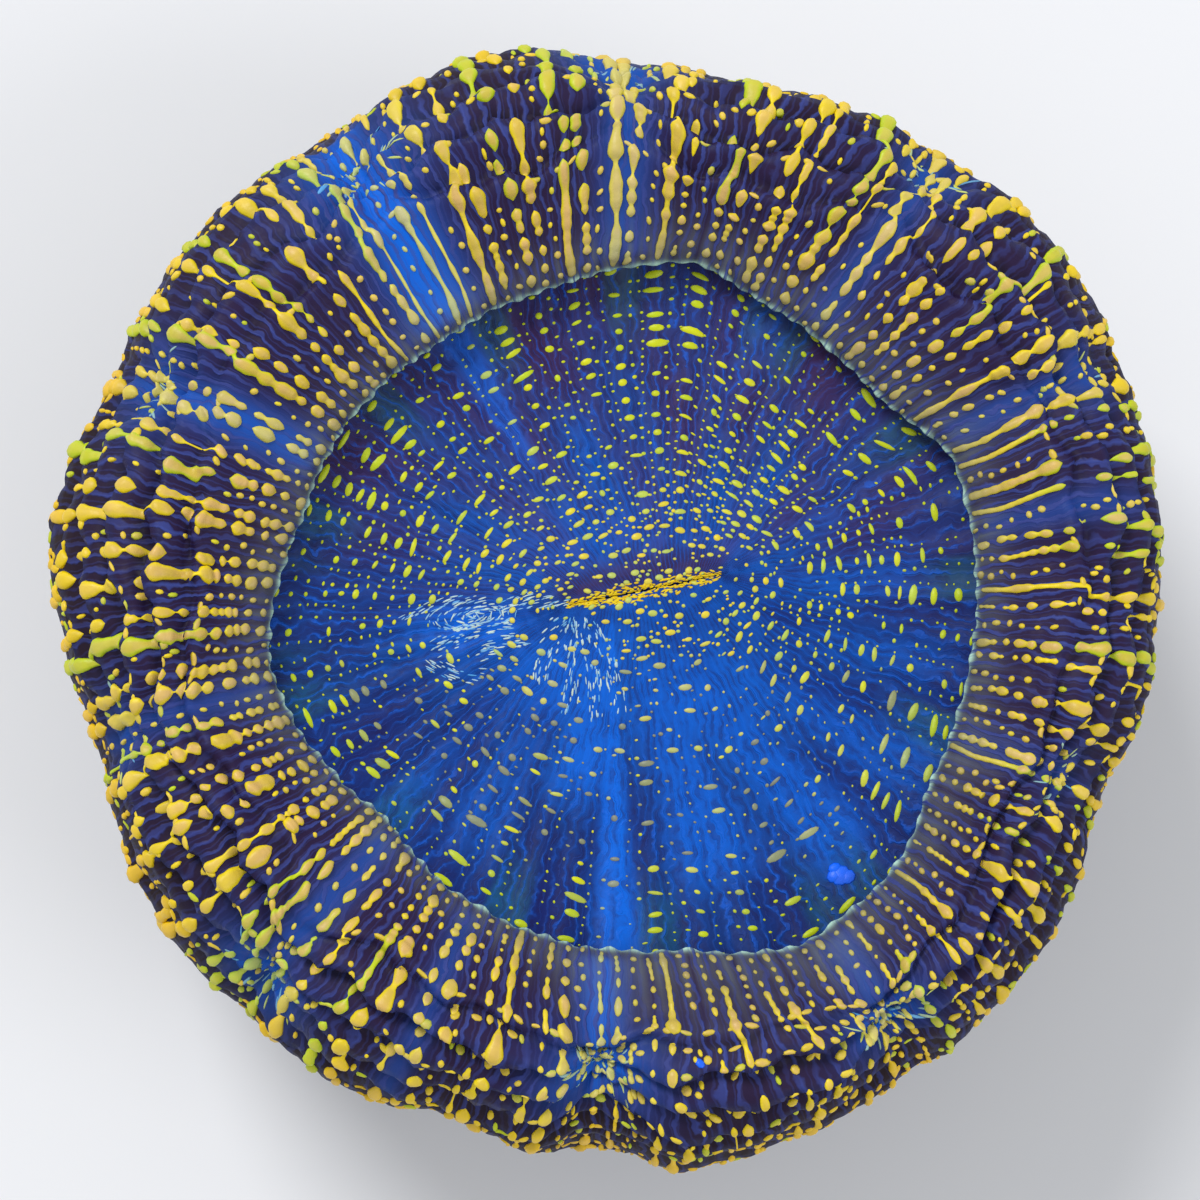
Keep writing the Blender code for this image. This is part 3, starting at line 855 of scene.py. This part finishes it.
def makeStrands(name, kind, material):
    rows = [strandStations(row) for row in range(flesh["rows"]) if rowKind(row) == kind]
    line = np.repeat(np.arange(len(rows)), [len(row[0]) for row in rows])
    middle, across, place, width, shade, lime = (np.concatenate(column) for column in zip(*rows))
    _, perDegree, perPlace = skinNormal(middle, place)
    degrees = middle + across / perDegree
    width = width * (1 - 0.2 * blueness(degrees, place))
    stepAcross, stepAlong = np.gradient(across), np.gradient(place) * perPlace
    length = np.hypot(stepAcross, stepAlong) + 1e-9

    # unbroken runs of three stations or more
    whole = width > strands["thinnest"]
    run = np.cumsum(np.append(True, (np.diff(line) != 0) | (np.diff(whole.astype(int)) != 0)))
    kept = np.flatnonzero(whole & (np.bincount(run)[run] >= 3))
    run = run[kept]
    opens = np.append(True, np.diff(run) != 0)
    closes = np.append(np.diff(run) != 0, True)
    width = width[kept] * np.where(opens | closes, 0.5, 1)
    crest, sides = strandTones(degrees[kept], place[kept], width, shade[kept], lime[kept])

    shares, levels = np.array(strands["section"]).T
    u = width[:, None] * shares
    aside = (stepAlong / length / perDegree)[kept, None], (-stepAcross / length / perPlace)[kept, None]
    spreadDegrees = degrees[kept, None] + u * aside[0]
    spreadPlace = place[kept, None] + u * aside[1]
    share, most = strands["lift"]
    lift = np.where(levels > 0, levels * np.minimum(width * share, most)[:, None], -strands["sunk"])
    normal, _, _ = skinNormal(spreadDegrees, spreadPlace)
    points = skinPoint(spreadDegrees, spreadPlace) + normal * lift[..., None]
    tone = blend(sides[:, None, :], crest[:, None, :], np.tile(ramp(0.5, 0.9, levels), (len(kept), 1)))

    corners = len(shares)
    first = np.flatnonzero(~closes)[:, None] * corners + np.arange(corners)
    second = np.flatnonzero(~closes)[:, None] * corners + (np.arange(corners) + 1) % corners
    bands = np.stack([first, first + corners, second + corners, second], axis=-1).reshape(-1, 4)
    caps = [np.flatnonzero(at)[:, None] * corners + np.arange(corners) for at in (opens, closes)]
    addMarks(name, points, bands.tolist() + caps[0].tolist() + caps[1].tolist(), tone, material)


beads = {
    "seed": 11,
    "last": 37.0,
    "spacing": (0.7, 1.3),
    "bead": {"across": (0.16, 0.30), "along": (0.15, 0.30)},
    "cap": {"across": (0.28, 0.56), "along": (0.15, 0.26)},  # wide and flat, on a ledge's edge or in its step
    "inStep": 0.58,
    "stepPlaces": (0.45, 0.62, 0.80),  # where beads of the weak rows may lie between two ledges
    "capPlaces": (0.42, 0.62),
    "onEdge": 0.26,  # share of ledge edges that carry a cap beside a row
    "edgeSides": [(285, 30, 0.55), (180, 40, 0.14), (100, 20, 0.1)],  # where more do: angle, spread, share
    "stepSides": [(286, 24, 0.75), (250, 14, 0.25), (45, 20, 0.25)],  # where some lie between the ledges
    "limes": 0.2,  # share of lime-green beads
    "shape": {"segments": 8, "rings": [(0.62, 0.75), (1.0, -1)], "sunk": 0.08},
}


def beadMarks():
    # small beads between the strands, and caps on the ledges' edges
    dice = np.random.default_rng(beads["seed"])
    ledges = flesh["ledges"]
    laid = []

    def grow(row, place, size, longer=1.0):
        across, along = between(dice, *size["across"]), between(dice, *size["along"]) * longer
        degrees = angleOf(row + between(dice, -0.2, 0.2))
        laid.append((degrees, place, across, along, between(dice, -0.3, 0.3), min(across, along) * 0.6))

    for row in range(flesh["rows"]):
        weak, angle = rowKind(row) == "weak", angleOf(row)
        if weak:
            place = between(dice, 0.4, 0.9)
            while place < ledges["first"] - 0.6:
                grow(row, place, beads["bead"], 1.2)
                place += between(dice, *beads["spacing"])
        for edge in ledgeEdges(beads["last"]):
            if weak:
                for share in beads["stepPlaces"]:
                    if dice.random() < beads["inStep"]:
                        grow(row, edge + share * ledges["pitch"], beads["bead"])
            if dice.random() < sideShare(beads["edgeSides"], angle, beads["onEdge"]):
                grow(row + 0.5, edge - 0.1, beads["cap"])
            if dice.random() < sideShare(beads["stepSides"], angle, 0.0):
                share = between(dice, *beads["capPlaces"])
                grow(row + 0.5, edge + share * ledges["pitch"], beads["cap"])
    degrees, place, across = np.array(laid).T[:3]
    shades = dice.random(len(laid))
    crest, sides = strandTones(degrees, place, across, shades, shades < beads["limes"])
    return [(*mark, *pair) for mark, *pair in zip(laid, crest, sides)]


spots = {
    "seed": 5,
    "strong": {"spacing": (0.85, 1.35), "across": (0.24, 0.52), "along": (0.14, 0.27)},
    "medium": {"spacing": (0.55, 0.98), "across": (0.09, 0.20), "along": (0.08, 0.15)},
    "weak": {"spacing": (0.43, 0.76), "across": (0.07, 0.13), "along": (0.06, 0.12)},
    # stacks of wide pads just inside the lip: from and to this place, half sizes, spacing, share of rows
    "stacks": {
        "from": -3.2, "to": -7.4, "across": (0.50, 0.92), "along": (0.20, 0.32), "gap": 0.8, "share": 0.4,
    },
    # where the strong rows' spots are longer: angle, spread, place, reach, share longer
    "longer": [(160, 15, -12.5, 3.5, 0.9), (62, 8, -8.0, 3.0, 0.7), (250, 10, -10.0, 3.0, 0.3)],
    "start": (2.7, 3.2),  # millimetres from the lip to a row's first spot
    "end": -21.3,
    "missing": 0.08,  # share of the spots that a row leaves out
    "inBlue": 0.55,  # share left out where the disc is bluest
    "faded": {"from": -3.0, "to": -6.0, "share": 0.15},  # fewer and paler on this side of the mouth, by y
    "least": {"strong": 0.15, "medium": 0.23, "weak": 0.32},  # room a row needs to go on towards the mouth
    "scatter": {"count": 330, "long": 8.5, "short": 5.0, "size": (0.08, 0.15)},  # dots round the mouth
    # where the streaming strokes leave little room for spots: centre, reach, share that is left out
    "clearings": [
        (-8.4, -1.7, 3.2, 1.7, 0.9), (-2.3, -4.6, 3.0, 3.8, 0.75), (-9.6, -3.8, 3.0, 1.4, 0.6),
        (14.1, -17.5, 1.3, 1.3, 1),
    ],
    "sparseSides": [(0, 35, 0.40), (135, 30, 0.22), (225, 30, 0.35)],  # angle, spread, share left out
    "apart": 0.85,
    "height": 0.06,
    "shape": {"segments": 10, "rings": [(0.72, 0.72), (1.0, -1)], "sunk": 0.04},
    "yellow": linear(220, 220, 10),
    "green": linear(140, 196, 24),
    "warm": linear(250, 206, 16),
    "pale": linear(178, 182, 142),
    "cyan": linear(120, 176, 196),
    "dim": linear(122, 126, 122),
}


def crossed(first, second):
    return first[..., 0] * second[..., 1] - first[..., 1] * second[..., 0]


# first guess, number of steps, share of each step that is taken, and the probes in degrees and millimetres
seek = {"start": -14.0, "steps": 25, "share": 0.6, "turn": 0.5, "move": 0.05}


def discPlace(x, y):
    # the angle and ring of the disc that lie under x and y, by Newton's steps, and the way across there
    mouth, share = flesh["mouth"], seek["share"]
    degrees = np.degrees(np.arctan2(y - mouth["y"], x - mouth["x"] * 0.5))
    place = np.full(np.shape(x), seek["start"])
    for _ in range(seek["steps"]):
        here = planOf(degrees, place)
        turned = (planOf(degrees + seek["turn"], place) - here) / seek["turn"]
        moved = (planOf(degrees, place + seek["move"]) - here) / seek["move"]
        wanted = np.stack([x, y], axis=-1) - here
        scale = crossed(turned, moved)
        degrees = degrees + share * crossed(wanted, moved) / scale
        place = place + share * crossed(turned, wanted) / scale
        place = np.clip(place, slitEdge + 0.3, -1.0)
    return degrees, place, np.arctan2(turned[..., 1], turned[..., 0])


def rowSpots(dice):
    # angle, place and half sizes of the spots that stand in rows
    stacks = spots["stacks"]
    heights = np.linspace(-22.0, 0.0, 80)
    degrees, levels = np.meshgrid(angleOf(np.arange(flesh["rows"])), heights, indexing="ij")
    room = skinNormal(degrees, levels)[1] * 360 / flesh["rows"]  # millimetres from row to row
    for kind in ("strong", "medium", "weak"):
        sizes = spots[kind]
        for row in range(flesh["rows"]):
            if rowKind(row) != kind:
                continue
            rowScale = between(dice, 0.75, 1.2)
            offset, phase = between(dice, -0.15, 0.15), between(dice, 0, 6.28)
            stacked = kind == "strong" and dice.random() < stacks["share"]
            place = stacks["from"] if stacked else -between(dice, *spots["start"])
            while place > spots["end"]:
                degrees = angleOf(row + offset + 0.15 * math.sin(place * 0.8 + phase))
                space = np.interp(place, heights, room[row])
                pads = stacked and place > stacks["to"]
                across = between(dice, *(stacks if pads else sizes)["across"]) * (1 if pads else rowScale)
                along = between(dice, *(stacks if pads else sizes)["along"])
                if kind == "strong":
                    for centre, spread, at, reach, share in spots["longer"]:
                        near = nearAngle(degrees, centre, spread)
                        across *= 1 + share * near * bell(place - at, reach)
                across = min(across, space * 1.35 if kind == "strong" else space * 0.6)
                if space > spots["least"][kind] and dice.random() > spots["missing"]:
                    yield degrees, place, max(across, 0.09), along
                place -= stacks["gap"] * between(dice, 0.9, 1.2) if pads else between(dice, *sizes["spacing"])


def scatteredSpots(dice):
    # dots round the mouth
    scatter, mouth = spots["scatter"], flesh["mouth"]
    turns, reach = dice.random(scatter["count"]) * 2 * math.pi, np.sqrt(dice.random(scatter["count"]))
    x = mouth["x"] + scatter["long"] * reach * np.cos(turns)
    y = mouth["y"] + scatter["short"] * reach * np.sin(turns) + (x - mouth["x"]) * 0.2
    for degrees, place in zip(*discPlace(x, y)[:2]):
        size = between(dice, *scatter["size"])
        yield degrees, place, size * between(dice, 0.9, 1.5), size


def shareLeftOut(degrees, place, x, y, low):
    # the share of the spots that is left out at each place; low is 1 on the side where they fade
    shares = [spots["faded"]["share"] * low, sideShare(spots["sparseSides"], degrees, 0.0)]
    shares.append(spots["inBlue"] * ramp(0.4, 0.9, blueness(degrees, place)))
    shares += [share * (ovalShare(x, y, *oval) < 1) for *oval, share in spots["clearings"]]
    return np.maximum.reduce(shares)


def clearSpots(x, y, size, free):
    # a spot is laid only where it stays clear of those before it
    laid = []
    for number in np.flatnonzero(free):
        away = np.hypot(x[laid] - x[number], y[laid] - y[number])
        gap = away - spots["apart"] * (size[laid] + size[number])
        if not laid or gap.min() > 0:
            laid.append(number)
    return laid


def spotMarks():
    dice = np.random.default_rng(spots["seed"])
    degrees, place, across, along = np.array([*rowSpots(dice), *scatteredSpots(dice)]).T
    x, y = planOf(degrees, place).T
    low = ramp(spots["faded"]["from"], spots["faded"]["to"], y)
    free = dice.random(len(x)) >= shareLeftOut(degrees, place, x, y, low)
    laid = clearSpots(x, y, (across + along) / 2, free)
    degrees, place, across, along, low = (column[laid] for column in (degrees, place, across, along, low))
    shades, turns = dice.random(len(laid)), dice.uniform(-0.18, 0.18, len(laid))
    bluer, central, outer = blueness(degrees, place), 1 - ramp(-19.0, -12.0, place), ramp(-8.0, -4.0, place)
    spotTones = layered(spots["yellow"], [
        (spots["green"], 0.45 * shades + 0.35 * outer * (1 - shades)),
        (spots["warm"], 0.6 * central * (1 - shades)),
        (spots["pale"], 0.8 * bluer * (1 - 0.6 * (1 - low))),
        (spots["cyan"], 0.4 * bluer * shades),
        (spots["dim"], low * (1 - outer) * ramp(0.25, 0.6, shades) * 0.85),
    ])
    heights = np.full(len(laid), spots["height"])
    return list(zip(degrees, place, across, along, turns, heights, spotTones, spotTones))


# fine strokes: crowded yellow ones along the closed mouth, pale ones that stream and swirl in the blue
strokes = {
    "seed": 17,
    "mouth": {"count": 330, "from": 0.02, "to": 0.70, "across": (0.08, 0.30), "along": (0.045, 0.085)},
    # streaks that run into the dimples: how many, how far out, degrees to a millimetre, half sizes
    "dimples": {
        "count": 34, "reach": (0.5, 3.6), "perMillimetre": 1.95,
        "across": (0.25, 0.75), "along": (0.05, 0.11),
    },
    # bright blue flecks: angle, place, half sizes
    "flecks": [
        (308.6, -4.6, 0.78, 0.68), (309.4, -4.3, 0.60, 0.50), (307.7, -4.8, 0.60, 0.46),
        (308.4, -5.1, 0.52, 0.36), (280.2, 8.4, 0.34, 0.24), (303.0, -2.9, 0.34, 0.15),
    ],
    "fleckHeight": 0.12,
    "swirl": {  # ovals round a centre: half sizes of the largest, how many ovals, and their tilt
        "x": -8.6, "y": -1.5, "long": 2.6, "short": 1.0, "ovals": 5, "tilt": 0.12,
    },
    "streams": [  # from x, y to x, y, bow to the left, spread, strokes
        (-6.8, -0.7, -2.6, -0.6, 0.15, 0.5, 46), (-11.0, -3.6, -6.4, -1.7, 0.2, 0.6, 60),
        (-8.4, -4.0, -5.4, -2.9, 0.2, 0.5, 40), (-3.2, -1.6, -4.4, -6.0, -0.2, 0.6, 34),
        (-2.6, -1.6, -2.6, -7.4, 0.1, 0.5, 44), (-2.2, -1.6, -0.9, -7.8, 0.2, 0.5, 48),
        (-1.8, -1.5, 0.5, -7.4, 0.3, 0.5, 44), (-11.6, -4.2, -8.0, -5.2, -0.3, 0.5, 30),
        (-13.0, -1.6, -8.0, -0.4, 0.25, 0.3, 40),
    ],
    "stroke": {"across": (0.12, 0.36), "along": (0.04, 0.075)},
    "shape": {"segments": 8, "rings": [(0.75, 0.7), (1.0, -1)], "sunk": 0.03},
    "height": 0.045,
    "yellow": linear(244, 216, 4),
    "amber": linear(222, 182, 4),
    "pale": linear(206, 226, 212),
    "cyan": linear(74, 160, 226),
    "leaf": linear(206, 216, 90),
    "fleck": linear(0, 104, 255),
}


def strokeLines(dice):
    # x, y and direction of the pale strokes: ovals round the swirl, then the streams
    lines = []
    swirl = strokes["swirl"]
    cos, sin = math.cos(swirl["tilt"]), math.sin(swirl["tilt"])
    for oval in range(swirl["ovals"]):
        share = (oval + 0.6) / swirl["ovals"]
        count = int(8 + 22 * share)
        for number in range(count):
            turn = 2 * math.pi * (number + between(dice, -0.4, 0.4)) / count
            reach = share + 0.16 * math.sin(turn * 1.5 + oval) + between(dice, -0.06, 0.06)
            x, y = swirl["long"] * reach * math.cos(turn), swirl["short"] * reach * math.sin(turn)
            heading = math.atan2(swirl["short"] * math.cos(turn), -swirl["long"] * math.sin(turn))
            x, y = swirl["x"] + x * cos - y * sin, swirl["y"] + x * sin + y * cos
            lines.append((x, y, heading + swirl["tilt"]))
    for startX, startY, endX, endY, bow, spread, count in strokes["streams"]:
        length = math.hypot(endX - startX, endY - startY)
        alongX, alongY = (endX - startX) / length, (endY - startY) / length
        for _ in range(count):
            t, aside = dice.random(), between(dice, -spread, spread)
            aside += bow * length * 4 * t * (1 - t) * 0.25
            heading = math.atan2(alongY, alongX) + math.atan(bow * (1 - 2 * t)) + between(dice, -0.15, 0.15)
            x = startX + alongX * t * length - alongY * aside
            lines.append((x, startY + alongY * t * length + alongX * aside, heading))
    return lines


def strokeMarks():
    dice = np.random.default_rng(strokes["seed"])
    marks = []

    def lay(degrees, place, across, along, turn, tone, height=strokes["height"]):
        marks.append((degrees, place, across, along, turn, height, tone, tone))

    x, y, heading = np.array(strokeLines(dice)).T
    for degrees, place, turn in zip(*discPlace(x, y)[:2], discPlace(x, y)[2] - heading):
        across = between(dice, *strokes["stroke"]["across"])
        tone = blend(strokes["pale"], strokes["cyan"], dice.random())
        lay(degrees, place, across, between(dice, *strokes["stroke"]["along"]), turn, tone)
    mouth = strokes["mouth"]
    for _ in range(mouth["count"]):
        share = between(dice, -1, 1)
        side = 1 if dice.random() < 0.5 else -1
        place = slitEdge + between(dice, mouth["from"], mouth["to"])
        tone = blend(strokes["yellow"], strokes["amber"], dice.random())
        degrees = flesh["mouth"]["turn"] + side * math.degrees(math.acos(share))
        across, along = between(dice, *mouth["across"]), between(dice, *mouth["along"])
        lay(degrees, place, across, along, between(dice, -0.5, 0.5), tone)
    dimples = strokes["dimples"]
    for centre, at, _, strength in blue["dimples"]:
        for _ in range(int(dimples["count"] * strength)):
            turn, far = between(dice, 0, 2 * math.pi), between(dice, *dimples["reach"])
            tone = blend(strokes["leaf"], strokes["cyan"], dice.random())
            across = between(dice, *dimples["across"]) * (0.4 + 0.2 * far)
            along = between(dice, *dimples["along"])
            degrees = centre + far * math.cos(turn) * dimples["perMillimetre"]
            place = at + far * math.sin(turn)
            lay(degrees, place, across, along, turn + between(dice, -0.2, 0.2), tone)
    for degrees, place, across, along in strokes["flecks"]:
        lay(degrees, place, across, along, 0.4, strokes["fleck"], strokes["fleckHeight"])
    return marks


stump = {
    "columns": 312,
    "rings": 70,  # of the wall
    "cutRings": 24,  # of the sawn face
    # height and radius
    "profile": [(0.0, 12.8), (2.4, 13.1), (4.6, 13.9), (6.4, 14.5), (8.6, 15.9), (10.3, 16.5)],
    "oval": 0.05,
    "bulge": 0.03,
    "ribs": 26,
    "rib": 0.80,
    "costa": 0.16,  # relief of the fine ribs between the main ones
    "grain": 0.10,
    "septum": 0.12,  # how deep the pores between the septa are in the sawn face
}


def makeStump():
    # the cut skeleton: its sheet runs from the middle of the saw cut up the ribbed wall
    heights, radii = np.array(stump["profile"]).T
    rings = [(share, 0.0) for share in np.linspace(0, 0.985, stump["cutRings"])]
    rings += [(1.0, level * stumpTop) for level in np.linspace(0, 1, stump["rings"])]
    rings += [(0.6, stumpTop), (0.0, stumpTop)]

    def shape(turns, ring):
        angle = turns * math.pi
        share, height = np.array(rings)[ring].T
        radius = np.interp(height, heights, radii)
        radius = radius * (1 + stump["oval"] * np.cos(2 * angle + 0.6) + stump["bulge"] * np.cos(3 * angle))
        crests = 0.75 + 0.25 * np.sin(angle * 5 + 1.0)
        ribs = stump["rib"] * crests * ramp(-0.4, 1.0, np.cos(angle * stump["ribs"]))
        relief = ribs + stump["costa"] * np.cos(angle * stump["ribs"] * 4)
        grain = np.sin(height * 5 + 3 * np.sin(angle * 9)) * np.sin(angle * 41 + height)
        relief = relief + stump["grain"] * grain
        radius = (radius + relief * (ramp(0, 0.8, height) * 0.3 + 0.7)) * share
        pores = ramp(0.2, 0.9, np.cos(angle * stump["ribs"] * 2))
        pores = pores * ramp(0.25, 0.45, share) * (1 - ramp(0.85, 0.95, share))
        onCut = (ring > 2) & (ring < stump["cutRings"] - 1)
        level = np.where(onCut, stump["septum"] * pores, height)
        return np.stack([radius * np.cos(angle), radius * np.sin(angle), level], axis=-1), {}

    mesh = rollSheet("coral_stump", stump["columns"], len(rings), shape)
    addPiece("coral_stump", mesh, stonePaint(), "stony_skeleton", "skeleton")


stoneFinish = {
    "pale": (214, 204, 180),
    "cloud": (178, 160, 128),
    "pits": (120, 102, 80),
    "crust": (136, 84, 104),  # faint purple algae
    "roughness": (0.78, 0.95),
    "specular": 0.5,
    "bump": 0.00012,
}


def stonePaint():
    paint = Paint("cut_coral_stone")
    where = paint.objectPlace()
    cloud = paint.noise(where, 140.0, 4.0).between(0.35, 0.65)
    pits = paint.noise(where, 1500.0, 3.0)
    height = Maths(paint, paint.add("ShaderNodeSeparateXYZ", {}, {0: where}).outputs[2])
    crust = paint.noise(where, 220.0, 3.0).between(0.5, 0.62) * height.between(0.0005, 0.004)
    tone = paint.mix(cloud * 0.5, rgba(*stoneFinish["pale"]), rgba(*stoneFinish["cloud"]))
    tone = paint.mix(pits.between(0.55, 0.75) * 0.5, tone, rgba(*stoneFinish["pits"]))
    tone = paint.mix(crust * 0.55, tone, rgba(*stoneFinish["crust"]))
    return paint.finish(stoneFinish, tone, pits, pits)


studio = {
    "floor": (232, 233, 236),
    "floorReach": 1.5,
    "sky": (0.95, 0.97, 1.0, 1.0),
    "skyStrength": 0.55,
    # name, place, size and power
    "lamps": [("key", (-0.35, 0.45, 0.7), 0.35, 5.0), ("fill", (0.6, -0.3, 0.6), 0.5, 2.0)],
    "lampAim": (0, 0, 0.03),
}


def makeStage():
    bm = bmesh.new()
    bmesh.ops.create_grid(bm, x_segments=1, y_segments=1, size=studio["floorReach"])
    mesh = meshOf(bm, "floor")
    paint = Paint("pale_floor")
    paint.set(Base_Color=rgba(*studio["floor"]), Roughness=0.9)
    mesh.materials.append(paint.material)
    floor = addObject("floor", mesh)

    world = bpy.data.worlds.new("studio")
    bpy.context.scene.world = world
    world.use_nodes = True
    sky = world.node_tree.nodes["Background"].inputs
    sky[0].default_value, sky[1].default_value = studio["sky"], studio["skyStrength"]
    for name, place, size, power in studio["lamps"]:
        lamp = bpy.data.lights.new(name, "AREA")
        lamp.shape = "DISK"
        lamp.size = size
        lamp.energy = power
        obj = addObject(name, lamp)
        obj.location = place
        obj.rotation_mode = "QUATERNION"
        obj.rotation_quaternion = (Vector(studio["lampAim"]) - obj.location).to_track_quat("-Z", "Y")
    print("floor, sky and", len(studio["lamps"]), "lamps")


view = {
    "lens": 105.0,
    "towards": (0.08, 0.13, -0.988),
    "distance": 0.224,
    "aim": (-0.0002, 0.0004, 0.0234),
}


def makeCamera():
    towards = Vector(view["towards"]).normalized()
    lens = bpy.data.cameras.new("camera")
    lens.lens = view["lens"]
    lens.clip_start = 0.01
    camera = addObject("camera", lens)
    camera.location = Vector(view["aim"]) - towards * view["distance"]
    right = towards.cross(Vector((0, 1, 0))).normalized()
    up = right.cross(towards)
    camera.rotation_mode = "QUATERNION"
    turn = Matrix((right, up, -towards)).transposed()
    camera.rotation_quaternion = turn.to_quaternion()
    bpy.context.scene.camera = camera


bpy.context.scene.view_settings.view_transform = "Standard"
makeFlesh()
makeStump()
beadMaterial = beadPaint("bead_gloss")
makeStrands("mantle_strands", "strong", beadMaterial)
makeStrands("finer_strands", "medium", beadMaterial)
layDomes("fine_beads", beadMarks(), beads["shape"], beadMaterial)
spotMaterial = beadPaint("spot_gloss")
layDomes("disc_spots", spotMarks(), spots["shape"], spotMaterial)
layDomes("disc_strokes", strokeMarks(), strokes["shape"], spotMaterial)
makeCamera()
makeStage()
